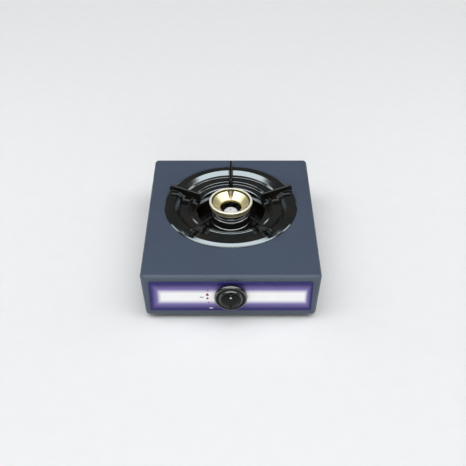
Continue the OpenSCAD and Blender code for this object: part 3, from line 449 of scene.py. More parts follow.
def turned_group():
    """Tool marks of a turned piece: noise that changes with radius and height, and little round the axis."""
    tree = group_tree("turned marks")
    if tree.nodes:
        return tree
    enter, leave = group_sockets(
        tree,
        [("Vector", "NodeSocketVector", None), ("Centre", "NodeSocketVector", (0, 0, 0)),
         ("Scale", "NodeSocketFloat", 2500.0), ("Wander", "NodeSocketFloat", 4.0)],
        [("Mask", "NodeSocketFloat"), ("Radius", "NodeSocketFloat"), ("Angle", "NodeSocketFloat")],
    )
    nodes, links = tree.nodes, tree.links
    offset = nodes.new("ShaderNodeVectorMath")
    offset.operation = "SUBTRACT"
    links.new(enter.outputs["Vector"], offset.inputs[0])
    links.new(enter.outputs["Centre"], offset.inputs[1])
    split = nodes.new("ShaderNodeSeparateXYZ")
    links.new(offset.outputs[0], split.inputs[0])
    x, y, z = split.outputs
    radius = distance_node(nodes, links, x, y)
    angle = math_node(nodes, links, "ARCTAN2", y, x)
    joint = nodes.new("ShaderNodeCombineXYZ")
    links.new(math_node(nodes, links, "MULTIPLY", radius, enter.outputs["Scale"]), joint.inputs[0])
    links.new(math_node(nodes, links, "MULTIPLY", math_node(nodes, links, "SINE", angle),
                        enter.outputs["Wander"]), joint.inputs[1])
    links.new(math_node(nodes, links, "MULTIPLY", z, enter.outputs["Scale"]), joint.inputs[2])
    noise = nodes.new("ShaderNodeTexNoise")
    noise.inputs["Scale"].default_value = 1.0
    noise.inputs["Detail"].default_value = 3.0
    links.new(joint.outputs[0], noise.inputs["Vector"])
    links.new(noise.outputs["Fac"], leave.inputs["Mask"])
    links.new(radius, leave.inputs["Radius"])
    links.new(angle, leave.inputs["Angle"])
    return tree


class Finish:
    """One material with short ways to add nodes; its Principled BSDF is in shader."""

    def __init__(self, name, **values):
        self.material = bpy.data.materials.new(name)
        self.material.use_nodes = True
        self.nodes = self.material.node_tree.nodes
        self.links = self.material.node_tree.links
        self.shader = self.nodes["Principled BSDF"]
        for socket, value in values.items():
            name = socket.replace("_", " ")
            self.shader.inputs[name].default_value = (*value, 1.0) if isinstance(value, tuple) else value
        self.place = self.nodes.new("ShaderNodeTexCoord").outputs["Object"]

    def link(self, source, target):
        self.links.new(source, target)

    def feed(self, source, socket):
        self.links.new(source, self.shader.inputs[socket])

    def math(self, operation, *values):
        return math_node(self.nodes, self.links, operation, *values)

    def axes(self):
        """The X, Y and Z of the point being shaded."""
        split = self.nodes.new("ShaderNodeSeparateXYZ")
        self.link(self.place, split.inputs[0])
        return split.outputs

    def group(self, tree, **values):
        node = self.nodes.new("ShaderNodeGroup")
        node.node_tree = tree
        self.link(self.place, node.inputs["Vector"])
        for socket, value in values.items():
            node.inputs[socket].default_value = value
        return node

    def ramp(self, source, stops):
        """A colour ramp from (position, colour) stops; a number makes a grey."""
        node = self.nodes.new("ShaderNodeValToRGB")
        points = node.color_ramp.elements
        while len(points) < len(stops):
            points.new(0.5)
        for point, (position, value) in zip(points, stops):
            point.position = position
            point.color = (*value, 1.0) if isinstance(value, tuple) else (value, value, value, 1.0)
        self.link(source, node.inputs[0])
        return node.outputs[0]

    def mix(self, factor, first, second):
        """Blends two colours, each a tuple or a socket."""
        node = self.nodes.new("ShaderNodeMix")
        node.data_type = "RGBA"
        for socket, value in ((node.inputs["Factor"], factor), (node.inputs[6], first),
                              (node.inputs[7], second)):
            if isinstance(value, tuple):
                socket.default_value = (*value, 1.0)
            elif isinstance(value, float):
                socket.default_value = value
            else:
                self.link(value, socket)
        return node.outputs[2]

    def bump(self, height, distance, strength=1.0):
        node = self.nodes.new("ShaderNodeBump")
        node.inputs["Distance"].default_value = distance
        node.inputs["Strength"].default_value = strength
        self.link(height, node.inputs["Height"])
        self.feed(node.outputs[0], "Normal")


def body_paint():
    """Satin blue-grey stoving paint with fine light and dark flecks and a little orange peel."""
    look = bpy.context.scene.stove_body
    ground, fleck = tuple(look.paint), tuple(look.paint_fleck)
    dark = tuple(0.62 * v for v in ground)
    paint = Finish("body_paint", Roughness=0.42, Specular_IOR_Level=0.5)
    grain = paint.group(grain_group(), Fine=1500.0, Coarse=9.0)
    light = paint.group(fleck_group(), Scale=1500.0, Size=0.42)
    deep = paint.group(fleck_group(), Scale=1050.0, Size=0.40)
    mottled = paint.mix(paint.ramp(grain.outputs["Coarse"], [(0.35, 0.0), (0.65, 1.0)]), ground,
                        tuple(1.1 * v for v in ground))
    flecked = paint.mix(paint.math("MULTIPLY", light.outputs["Mask"], 0.75), mottled, fleck)
    paint.feed(paint.mix(paint.math("MULTIPLY", deep.outputs["Mask"], 0.8), flecked, dark), "Base Color")
    paint.feed(paint.ramp(grain.outputs["Fine"], [(0.3, 0.36), (0.7, 0.50)]), "Roughness")
    paint.bump(grain.outputs["Fine"], 0.00006, 0.5)
    return paint.material


def enamel(name, ior):
    """Black vitreous enamel: a deep gloss with faint waviness, a brown cast and a few specks of dust.

    A higher index makes the gloss brighter.
    """
    look = bpy.context.scene.stove_burner
    base = tuple(look.enamel)
    gloss = Finish(name, Roughness=0.1, IOR=ior, Specular_Tint=(0.84, 0.95, 1.0))
    grain = gloss.group(grain_group(), Fine=260.0, Coarse=26.0)
    specks = gloss.group(fleck_group(), Scale=420.0, Size=0.10)
    warm = gloss.mix(gloss.ramp(grain.outputs["Coarse"], [(0.4, 0.0), (0.7, 1.0)]), base,
                     (0.012, 0.008, 0.004))
    gloss.feed(gloss.mix(gloss.math("MULTIPLY", specks.outputs["Mask"], 0.5), warm, (0.04, 0.035, 0.03)),
               "Base Color")
    gloss.feed(gloss.ramp(grain.outputs["Coarse"], [(0.3, 0.09), (0.7, 0.17)]), "Roughness")
    gloss.bump(grain.outputs["Fine"], 0.00005, 0.35)
    return gloss.material


def bakelite():
    """Black moulded bakelite: the edges of the skirt and of the raised middle are polished by use."""
    gloss = Finish("bakelite", Roughness=0.14, Specular_IOR_Level=0.16, Coat_Roughness=0.06, Coat_IOR=2.2)
    grain = gloss.group(grain_group(), Fine=1900.0, Coarse=60.0)
    gloss.feed(gloss.mix(grain.outputs["Coarse"], (0.003, 0.0035, 0.0035), (0.006, 0.0065, 0.0065)),
               "Base Color")
    gloss.feed(gloss.ramp(grain.outputs["Fine"], [(0.35, 0.10), (0.7, 0.20)]), "Roughness")
    x, _, z = gloss.axes()
    radius = distance_node(gloss.nodes, gloss.links, x, gloss.math("SUBTRACT", z, KNOB_Z))
    share = gloss.math("DIVIDE", radius, float(KNOB_HIGH[0]))
    gloss.feed(gloss.ramp(share,
                          [(0.60, 0.0), (0.64, 0.7), (0.70, 0.7), (0.73, 0.0), (0.88, 0.0), (0.92, 1.0)]),
                          "Coat Weight")
    gloss.bump(grain.outputs["Coarse"], 0.00004, 0.3)
    return gloss.material


def burner_brass():
    """Turned brass of the burner cap, with circular tool marks.

    By radius it has an olive bore, a satin funnel, a dark band of painted shade under the rim, a pale painted
    highlight on the rim's top, an outer side painted darker as shade, and slots painted darker with depth as
    shade.
    """
    tone = tuple(bpy.context.scene.stove_burner.brass)
    metal = Finish("brass", Metallic=0.7, Roughness=0.3)
    marks = metal.group(turned_group(), Centre=(BURNER[0], BURNER[1], 0.0), Scale=2600.0, Wander=5.0)
    grain = metal.group(grain_group(), Fine=700.0, Coarse=55.0)
    dull = tuple(v * s for v, s in zip(tone, (0.86, 0.82, 0.74)))
    worn = metal.mix(metal.ramp(grain.outputs["Coarse"], [(0.45, 0.0), (0.75, 1.0)]), tone, dull)
    lined = metal.mix(metal.ramp(marks.outputs["Mask"], [(0.5, 0.0), (0.8, 0.55)]), worn,
                      tuple(0.66 * v for v in tone))
    share = metal.math("DIVIDE", marks.outputs["Radius"], float(CAP_HIGH[0]))
    z = metal.axes()[2]
    height = metal.math("SUBTRACT", z, float(CAP_LOW[2]))
    height = metal.math("DIVIDE", height, float(CAP_HIGH[2] - CAP_LOW[2]))
    bore = metal.ramp(share, [(0.495, 1.0), (0.51, 0.0)])
    # Painted shade: a near-black band under the rim's overhang and in the step inside the rim.
    under_rim_shade = metal.math("MULTIPLY", metal.ramp(share, [(0.835, 0.0), (0.85, 0.9), (0.885, 0.9), (0.895, 0.0)]),
                      metal.ramp(height, [(0.6, 0.0), (0.7, 1.0)]))
    # Painted highlight: the rim's top is painted pale and made less metallic, so it shows bright.
    rim = metal.math("MULTIPLY", metal.ramp(share, [(0.888, 0.0), (0.9, 1.0)]),
                     metal.ramp(height, [(0.93, 0.0), (0.97, 1.0)]))
    # Painted shade: the outer side below the rim's top is painted a darker brass.
    side = metal.math("MULTIPLY", metal.ramp(share, [(0.82, 0.0), (0.83, 1.0)]),
                      metal.ramp(height, [(0.90, 1.0), (0.95, 0.0)]))
    radius, top = marks.outputs["Radius"], float(CAP_HIGH[2])
    cone = metal.math("ADD", metal.math("MULTIPLY", metal.math("SUBTRACT", radius, 19.5 * MM), 0.83),
                      top - 14.5 * MM)
    depth = metal.math("DIVIDE", metal.math("SUBTRACT", cone, z), 5 * MM)
    inside = metal.ramp(share, [(0.50, 0.0), (0.52, 1.0), (0.83, 1.0), (0.85, 0.0)])
    slot = metal.math("MULTIPLY", metal.ramp(depth, [(0.03, 0.0), (0.10, 1.0)]), inside)
    # The slots are rose brass, painted darker with depth as painted shade inside them.
    rose_and_depth_shade = metal.ramp(depth, [(0.15, (0.80, 0.62, 0.48)), (0.75, (0.22, 0.14, 0.06))])
    colour = metal.mix(slot, lined, rose_and_depth_shade)
    colour = metal.mix(bore, colour, (0.30, 0.24, 0.06))
    # Painted shade on the outer side.
    colour = metal.mix(side, colour, tuple(0.55 * v for v in tone))
    # Painted shade under the rim.
    colour = metal.mix(under_rim_shade, colour, (0.05, 0.04, 0.012))
    # The pale rim colour here, and the lower metallic on the rim below, are a painted highlight.
    metal.feed(metal.mix(rim, colour, (1.0, 0.95, 0.78)), "Base Color")
    metal.feed(metal.ramp(metal.math("MAXIMUM", rim, bore), [(0.0, 0.72), (1.0, 0.30)]), "Metallic")
    metal.feed(metal.ramp(marks.outputs["Mask"], [(0.3, 0.22), (0.7, 0.42)]), "Roughness")
    metal.bump(marks.outputs["Mask"], 0.00004, 0.45)
    return metal.material


def bright_metal(name, tone, low, high, scale=1400.0, metallic=1.0):
    """Bright plated or polished metal: roughness from low to high over fine grain, and faint smudges."""
    metal = Finish(name, Metallic=metallic, Roughness=low)
    grain = metal.group(grain_group(), Fine=scale, Coarse=40.0)
    dull = tuple(0.84 * v for v in tone)
    metal.feed(metal.mix(metal.ramp(grain.outputs["Coarse"], [(0.4, 0.0), (0.7, 1.0)]), tone, dull),
               "Base Color")
    metal.feed(metal.ramp(grain.outputs["Fine"], [(0.3, low), (0.7, high)]), "Roughness")
    metal.bump(grain.outputs["Fine"], 0.00003, 0.3)
    return metal.material


def plain_finish(name, tone, low, high, scale=900.0, relief=0.00005, variation=0.8, ior=1.5):
    """Painted, moulded or rubber surface: a grain in its tone, roughness and relief."""
    skin = Finish(name, Roughness=low, IOR=ior)
    grain = skin.group(grain_group(), Fine=scale, Coarse=35.0)
    shade = tuple(variation * v for v in tone)
    skin.feed(skin.mix(skin.ramp(grain.outputs["Coarse"], [(0.35, 0.0), (0.7, 1.0)]), tone, shade),
              "Base Color")
    skin.feed(skin.ramp(grain.outputs["Fine"], [(0.3, low), (0.7, high)]), "Roughness")
    skin.bump(grain.outputs["Fine"], relief, 0.5)
    return skin.material


def fascia_print():
    """Printed plate: violet border that fades through lilac to a white middle, under clear lacquer.

    The fade runs with the smaller of the distances to the left, right and nearer long edge, each divided by
    the width of its own fade, with the corners softened.
    """
    look = bpy.context.scene.stove_body
    skin = Finish("fascia_print", Roughness=0.25, Specular_IOR_Level=0.25)
    x, _, z = skin.axes()
    left_fade, right_fade, edge_fade = 0.021, 0.014, 0.026
    left = skin.math("DIVIDE", skin.math("SUBTRACT", x, float(PLATE_LOW[0])), left_fade)
    right = skin.math("DIVIDE", skin.math("SUBTRACT", float(PLATE_HIGH[0]), x), right_fade)
    low = skin.math("DIVIDE", skin.math("SUBTRACT", z, float(PLATE_LOW[2])), edge_fade)
    high = skin.math("DIVIDE", skin.math("SUBTRACT", float(PLATE_HIGH[2]), z), edge_fade)
    sides = skin.math("SMOOTH_MIN", left, right, 0.1)
    rows = skin.math("SMOOTH_MIN", low, high, 0.1)
    share = skin.math("SMOOTH_MIN", sides, rows, 0.25)
    edge, band, white = tuple(look.plate_edge), tuple(look.plate_middle), tuple(look.plate_white)
    deep = tuple(0.65 * a + 0.35 * b for a, b in zip(edge, band))
    pale = tuple(0.4 * a + 0.6 * b for a, b in zip(band, white))
    colour = skin.ramp(share,
                       [(0.0, edge), (0.18, edge), (0.36, deep), (0.62, band), (0.80, pale), (0.97, white)])
    grain = skin.group(grain_group(), Fine=1800.0, Coarse=12.0)
    printed = skin.mix(skin.ramp(grain.outputs["Fine"], [(0.5, 0.0), (0.8, 0.06)]), colour, edge)
    skin.feed(printed, "Base Color")
    skin.feed(skin.ramp(grain.outputs["Coarse"], [(0.3, 0.2), (0.7, 0.3)]), "Roughness")
    skin.bump(grain.outputs["Fine"], 0.00002, 0.3)
    return skin.material


# --- Body


def body_ring(inset, z, corner):
    """The body's outline at height z, drawn in by inset: the sides lean in evenly from top to bottom."""
    look = bpy.context.scene.stove_body
    lean = look.draft * (TOP_Z - z) / (TOP_Z - BODY_LOW[2])
    half_w = BODY_HIGH[0] - lean - inset
    half_d = (BODY_HIGH[1] - BODY_LOW[1]) / 2 - inset
    outline = rounded_box(half_w, half_d, max(corner, 0.0008), 56, 10)
    middle = np.array([0.0, (BODY_LOW[1] + BODY_HIGH[1]) / 2])
    return np.column_stack([outline + middle, np.full(len(outline), z)])


def body_skin():
    """The pressed body as one closed skin of rings: hole, top, bend, wall, lip, then back along the inside.

    On the top each ring lies between the hole's circle and the outline, a growing share of the way out.
    """
    look = bpy.context.scene.stove_body
    bend, foot, corner, sheet = look.top_bend, look.foot_bend, look.corner, look.sheet
    bottom = float(BODY_LOW[2])

    def side(inward):
        """Rings of one face of the sheet, hole to lip edge; inward is 0 outside, sheet inside."""
        r = bend - inward
        f = foot - inward
        top = TOP_Z - inward
        rows = [body_ring(inward + r * (1 - math.sin(a)), top - r * (1 - math.cos(a)),
                          corner - inward - r * (1 - math.sin(a)))
                for a in np.radians(np.linspace(0, 90, 9))]
        rim = rows[0]
        out = rim[:, :2] - BURNER
        unit = out / np.linalg.norm(out, axis=1)[:, None]
        circle = BURNER + unit * look.well_radius
        shares = np.linspace(0, 1, 13)[1:-1]
        flat = [np.column_stack([circle + (rim[:, :2] - circle) * s, np.full(len(rim), top)]) for s in shares]
        edge = [np.column_stack([BURNER + unit * (look.well_radius + g), np.full(len(rim), top - d)])
                for g, d in ((0.0, 0.0003), (0.0001, 0.0001), (0.0003, 0.0), (0.001, 0.0))]
        if inward:
            edge = edge[2:]
        walls = [body_ring(inward, z,
                           corner - inward) for z in np.linspace(top - r - 0.001, bottom + foot + 0.001, 9)]
        low = [body_ring(inward + f * (1 - math.cos(a)), bottom + foot - f * math.sin(a),
                         corner - inward - f * (1 - math.cos(a)))
               for a in np.radians(np.linspace(0, 90, 7))]
        lip = [body_ring(foot + (look.lip - foot) * s, bottom + inward,
                         corner - foot + foot * s) for s in (0.1, 0.5, 1.0)]
        return edge + flat + rows + walls + low + lip

    rings = side(0.0) + side(sheet)[::-1]
    return piece_from("body_skin", *loft(rings, closed_rows=True))


class STOVE_OT_body(bpy.types.Operator):
    """Pressed body: bent sheet with the round well, folded bottom lip and the opening for the rear panel."""

    bl_idname = "stove.body"
    bl_label = "Body"

    def execute(self, context):
        skin = body_skin()
        low, high = extent("rear_panel")
        lap, corner = 8 * MM, 8 * MM
        half_w = (high[0] - low[0]) / 2 - lap
        z0, z1 = low[2] + lap - 4 * MM, high[2] - lap
        outline = rounded_box(half_w, (z1 - z0) / 2, corner, 6, 8) + (0, (z0 + z1) / 2)
        cutter = [upright(outline, y) for y in (high[1] - 2 * MM, BODY_HIGH[1] + 5 * MM)]
        cut_out(skin, [piece_from("rear_cut", *loft(cutter))])
        finish = body_paint()
        place(skin, "root", "body_paint", finish, "body_shell", "body_side_left", "body_side_right")
        dress(finish, "rear_panel")
        return {"FINISHED"}


class STOVE_OT_fascia(bpy.types.Operator):
    """Printed fascia plate with a softened front edge."""

    bl_idname = "stove.fascia"
    bl_label = "Fascia plate"

    def execute(self, context):
        half_w = (PLATE_HIGH[0] - PLATE_LOW[0]) / 2
        half_h = (PLATE_HIGH[2] - PLATE_LOW[2]) / 2
        middle = (0.0, float(PLATE_LOW[2] + PLATE_HIGH[2]) / 2)
        front, back, round_off, corner = float(PLATE_LOW[1]), float(PLATE_HIGH[1]), 0.6 * MM, 3 * MM
        steps = [(0.0, back), (0.0, front + round_off + 0.2 * MM)]
        steps += [(round_off * (1 - math.cos(a)), front + round_off * (1 - math.sin(a)))
                  for a in np.radians(np.linspace(0, 90, 6))]
        steps.append((round_off + 0.6 * MM, front))
        rings = []
        for inset, y in steps:
            outline = rounded_box(half_w - inset, half_h - inset, corner - inset, 12, 8) + middle
            rings.append(upright(outline, y))
        plate = piece_from("fascia_plate", *loft(rings))
        place(plate, "root", "fascia_print", fascia_print(), "fascia")
        return {"FINISHED"}


def flame_outline(width, height, steps=40):
    """A flame's outline: half-width 0.65 w sin(t) sin(t / 2)^1.5 at height 0.5 h cos(t), pointed on top."""
    t = 2 * np.pi * np.arange(steps) / steps
    x = 0.5 * width * np.sin(t) * np.sin(t / 2) ** 1.5 * 1.3
    z = 0.5 * height * np.cos(t)
    return np.column_stack([x, z])


def print_shell(outline, middle, depth=0.12 * MM):
    """A raised mark of ink on the plate: the outline at middle, drawn in a little towards its face."""
    front = float(PLATE_LOW[1])
    steps = ((1.0, front + 0.2 * MM), (1.0, front - 0.5 * depth), (0.9, front - depth))
    return loft([upright(outline * shrink + middle, y) for shrink, y in steps])


class STOVE_OT_dial_marks(bpy.types.Operator):
    """Dial marks beside the knob: a large and a small flame, a dot, a dash and a pale oval."""

    bl_idname = "stove.dial_marks"
    bl_label = "Dial marks"

    def execute(self, context):
        x0 = -39 * MM
        middle_z = float(PLATE_LOW[2] + PLATE_HIGH[2]) / 2
        flames = [print_shell(flame_outline(5.4 * MM, 7.0 * MM), (x0 - 0.2 * MM, middle_z + 5.4 * MM)),
                  print_shell(flame_outline(4.6 * MM, 5.4 * MM), (x0, middle_z - 3.2 * MM)),
                  print_shell(arc(0, 0, 1.5 * MM, 0, 345, 23), (x0 + 0.6 * MM, middle_z + 14.5 * MM)),
                  print_shell(arc(0, 0, 1.3 * MM, 0, 345, 23), (x0 + 1.5 * MM, middle_z - 13 * MM))]
        red = piece_from("dial_flames", *joined(*flames), sharp=40)
        place(red, "root", "fascia_print", plain_finish("red_ink", display(150, 34, 50), 0.3, 0.45))
        dash = rounded_box(3.4 * MM, 0.75 * MM, 0.6 * MM, 2, 4)
        dark = piece_from("dial_dash", *print_shell(dash, (x0 - 9.5 * MM, middle_z - 1.0 * MM)), sharp=40)
        place(dark, "root", "fascia_print", plain_finish("dark_ink", display(70, 52, 70), 0.3, 0.45))
        oval = oval_arc(0, 0, 3.6 * MM, 1.5 * MM, 0, 350, 35)
        pale = piece_from("dial_oval", *print_shell(oval, (x0 + 6 * MM, middle_z - 26.5 * MM)), sharp=40)
        place(pale, "root", "fascia_print", plain_finish("pale_ink", display(214, 206, 236), 0.3, 0.45))
        return {"FINISHED"}


# --- Knob


class STOVE_OT_knob(bpy.types.Operator):
    """Black knob: turned skirt, raised middle and dome, a rounded finger bar and a white dot."""

    bl_idname = "stove.knob"
    bl_label = "Knob"

    def execute(self, context):
        back, face = float(KNOB_HIGH[1]), float(KNOB_LOW[1])
        radius = float(KNOB_HIGH[0])
        skirt, hub, dome = back - 6 * MM, back - 8 * MM, back - 11 * MM
        hub_r, bar_w = 18 * MM, 8 * MM
        low, high = extent("knob_pointer")
        bar_l = float(low[2] + high[2]) - 2 * KNOB_Z + bar_w
        bore = 5.5 * MM
        corners = [(bore, back - 9.8 * MM), (bore, back - 0.6 * MM), (bore + 1.0 * MM, back), (radius, back),
                   (radius, back - 2.4 * MM)]
        edge = oval_arc(radius - 3 * MM, back - 2.4 * MM, 3 * MM, -3.6 * MM, 0, 90, 12)
        step = rounded_path([edge[-1], (hub_r + 0.8 * MM, skirt), (hub_r - 0.2 * MM, hub),
                             (15.2 * MM, hub - 0.1 * MM)],
                            [0, 0.7 * MM, 1.3 * MM, 0], closed=False, steps=6)[1:]
        crown = oval_arc(0, hub - 0.1 * MM, 15.0 * MM, dome - hub + 0.1 * MM, 0, 90, 20)
        crown[-1, 0] = 0.0
        profile = np.concatenate([[(0.0, back - 9.8 * MM)], corners, edge[1:], step, crown])
        turned = lathe(profile, (0.0, KNOB_Z), 160, axis="Y")
        rings = []
        round_off = 1.6 * MM
        steps = [(-1.4 * MM, hub), (-0.7 * MM, dome + 0.6 * MM), (-0.25 * MM, dome - 0.4 * MM)]
        steps += [(round_off * (1 - math.cos(a)), face + round_off * (1 - math.sin(a)))
                  for a in np.radians(np.linspace(0, 84, 7))]
        steps += [(2.6 * MM, face + 0.005 * MM), (3.6 * MM, face)]
        for inset, y in steps:
            outline = rounded_box(bar_w / 2 - inset, bar_l / 2 - inset, bar_w / 2 - inset - 0.02 * MM, 10, 10)
            rings.append(upright(outline + (0, KNOB_Z), y))
        knob = piece_from("knob_skin", *joined(turned, loft(rings)))
        place(knob, "spindle", "bakelite", bakelite(), "knob")
        r = float(high[0] - low[0]) / 2
        dot_profile = np.array([(0, high[1]), (r, high[1]), (r, low[1]), (0.85 * r, low[1] - 0.12 * MM),
                                (0.5 * r, low[1] - 0.2 * MM), (0, low[1] - 0.24 * MM)])
        dot = piece_from("knob_dot", *lathe(dot_profile, (0.0, float(low[2] + high[2]) / 2), 48, axis="Y"),
                         sharp=50)
        place(dot, "spindle", "pointer_white", plain_finish("pointer_white", (0.86, 0.86, 0.84), 0.3, 0.4),
              "knob_pointer")
        return {"FINISHED"}


# --- Pan support


def ring_profile():
    """Upper and lower face of the ring: rim, land, slope down to the trough, bead and inner edge."""
    look = bpy.context.scene.stove_burner
    outer, base, crest = float(RING_HIGH[0]), TOP_Z + 0.3 * MM, float(RING_HIGH[2])
    sheet = look.enamel_sheet
    rim_in = outer - look.rim_width
    land = rim_in - 4 * MM
    trough_out, trough_z = land - 11 * MM, TOP_Z - 3.6 * MM
    trough_in = trough_out - 12 * MM
    bead, bead_z = trough_in - 4 * MM, TOP_Z - 1.6 * MM
    inner, inner_z = bead - 13 * MM, TOP_Z - 9 * MM
    top = np.concatenate([
        rounded_path([(outer, base), (outer, base + 0.7 * MM), (outer - 1.9 * MM, base + 2.4 * MM),
                      (outer - 7.4 * MM, crest - 0.2 * MM),
                      (rim_in - 1 * MM, crest)], [0, 0.8 * MM, 1.5 * MM, 5 * MM, 0], closed=False, steps=8),
        rounded_path([(land + 2 * MM, crest), (land - 0.6 * MM, crest),
                      (trough_out + 2.2 * MM, trough_z + 3.4 * MM), (trough_out - 0.6 * MM, trough_z),
                      (trough_in - 1.4 * MM, trough_z), (bead + 1.2 * MM, bead_z - 0.8 * MM)],
                     [0, 2.5 * MM, 2 * MM, 1.5 * MM, 0.8 * MM, 0], closed=False, steps=8),
        arc(bead, bead_z - 1.6 * MM, 1.6 * MM, 55, 150, 9),
        rounded_path([(bead - 2.0 * MM, bead_z - 1.9 * MM), (bead - 3.8 * MM, bead_z - 4.4 * MM),
                      (inner + 1.2 * MM, inner_z + 0.8 * MM), (inner, inner_z)],
                     [0, 1.6 * MM, 0.8 * MM, 0], closed=False, steps=5),
    ])
    under = np.concatenate([
        [(inner - 0.35 * MM, inner_z - 0.35 * MM), (inner - 0.45 * MM, inner_z - 0.75 * MM),
         (inner - 0.1 * MM, inner_z - 1.0 * MM)],
        [(bead - 4.2 * MM, bead_z - sheet - 4.4 * MM), (bead - 2.2 * MM, bead_z - sheet - 2.0 * MM),
         (trough_in, trough_z - sheet)],
        slope(trough_out + 0.6 * MM, trough_z - sheet, land + 0.6 * MM, crest - sheet, 14),
        rounded_path([(rim_in - 1 * MM, crest - sheet), (outer - 8.6 * MM, crest - 0.7 * MM - sheet),
                      (outer - sheet, base + 0.5 * MM),
                      (outer - sheet, base)], [0, 8 * MM, 0.4 * MM, 0], closed=False, steps=8)[1:],
    ])
    return top, under


class STOVE_OT_pan_ring(bpy.types.Operator):
    """Enamelled ring of the pan support, turned from its profile."""

    bl_idname = "stove.pan_ring"
    bl_label = "Pan ring"

    def execute(self, context):
        top, under = ring_profile()
        profile = np.concatenate([top, under])
        ring = piece_from("pan_ring_skin", *lathe(profile, BURNER, context.scene.stove_burner.turn_steps))
        place(ring, "pan_support", "enamel", enamel("ring_enamel", 2.75), "pan_ring")
        return {"FINISHED"}


def arm_skin(name, angle, nose_z):
    """One arm as a loft of cross-sections from its outer nose to its inner tip.

    A section is a flare at the foot that narrows with the height to the power 1.4, an upright side and a
    round crest. Its height runs from the ring's surface to the arm's top line: a quarter circle up the nose
    to nose_z, then a straight fall to the tip.
    """
    look = bpy.context.scene.stove_burner
    top, _ = ring_profile()
    order = np.argsort(top[:, 0])
    outer = float(RING_HIGH[0]) - 2.5 * MM
    nose_r = 5 * MM
    tip_r, tip_z = 60 * MM, TOP_Z + 13 * MM
    nose_c = outer - nose_r
    a = np.linspace(0, 100, 13)
    nose = np.column_stack([nose_c + nose_r * np.cos(np.radians(a)),
                            nose_z - nose_r + nose_r * np.sin(np.radians(a))])
    start = np.column_stack([np.full(4, outer), np.linspace(TOP_Z + 2 * MM, nose_z - nose_r - 1 * MM, 4)])
    run = np.linspace(nose[-1], (tip_r + 2.2 * MM, tip_z), 22)[1:]
    fall = arc(tip_r + 2.2 * MM, tip_z - 2.2 * MM, 2.2 * MM, 90, 170, 6)[1:]
    end = np.column_stack([np.linspace(tip_r + 0.1 * MM, tip_r + 2.6 * MM, 6),
                           np.linspace(tip_z - 3.4 * MM, TOP_Z - 7.6 * MM, 6)])
    crest = np.concatenate([start, nose, run, fall, end])
    foot = np.column_stack([crest[:, 0], np.interp(crest[:, 0], top[order, 0], top[order, 1]) - 0.6 * MM])
    foot[:, 1] = np.where(crest[:, 0] < top[order[0], 0] + 0.5 * MM, TOP_Z - 9.2 * MM, foot[:, 1])
    height = np.maximum(crest[:, 1] - foot[:, 1], 0.4 * MM)[:, None]
    flare_h = np.minimum(0.5 * height, 6.5 * MM)
    crest_r = np.minimum(look.arm_crest / 2, 0.4 * height)
    f = np.linspace(0, math.pi / 2, 7)[None]
    rise = np.linspace(0, 1, 7)[None]
    flare_w = (look.arm_foot - look.arm_crest) / 2 * np.minimum(1, height / (9 * MM))
    half_top = np.minimum(look.arm_crest / 2, 0.8 * height)
    flare_x, flare_z = half_top + flare_w * (1 - rise) ** 1.4, flare_h * rise
    round_x, round_z = half_top - crest_r * (1 - np.cos(f)), height - crest_r * (1 - np.sin(f))
    mid_x = np.repeat(half_top * 1.04, 2, axis=1)
    mid_z = flare_h + (height - crest_r - flare_h) * np.array([[0.33, 0.66]])
    x = np.concatenate([flare_x, mid_x, round_x], 1)
    z = np.concatenate([flare_z, mid_z, round_z], 1)
    x, z = np.concatenate([x, -x[:, -2::-1]], 1), np.concatenate([z, z[:, -2::-1]], 1)
    radius = np.repeat(crest[:, :1], x.shape[1], axis=1)
    z = foot[:, 1:2] + z
    ca, sa = math.cos(angle), math.sin(angle)
    grid = np.stack([BURNER[0] + radius * ca - x * sa, BURNER[1] + radius * sa + x * ca, z], -1)
    return piece_from(name, *loft(grid))


class STOVE_OT_pan_arms(bpy.types.Operator):
    """Five arms welded on the ring, each a rounded fin with a raised nose at its outer end."""

    bl_idname = "stove.pan_arms"
    bl_label = "Pan arms"

    def execute(self, context):
        finish = enamel("arm_enamel", 1.6)
        for node in ARM_NODES:
            low, high = extent(node)
            middle = (low + high) / 2
            angle = math.atan2(middle[1] - BURNER[1], middle[0] - BURNER[0])
            step = 2 * math.pi / len(ARM_NODES)
            angle = math.pi / 2 + step * round((angle - math.pi / 2) / step)
            place(arm_skin(node + "_skin", angle, high[2]), "pan_support", "enamel", finish, node)
        return {"FINISHED"}


# --- Burner


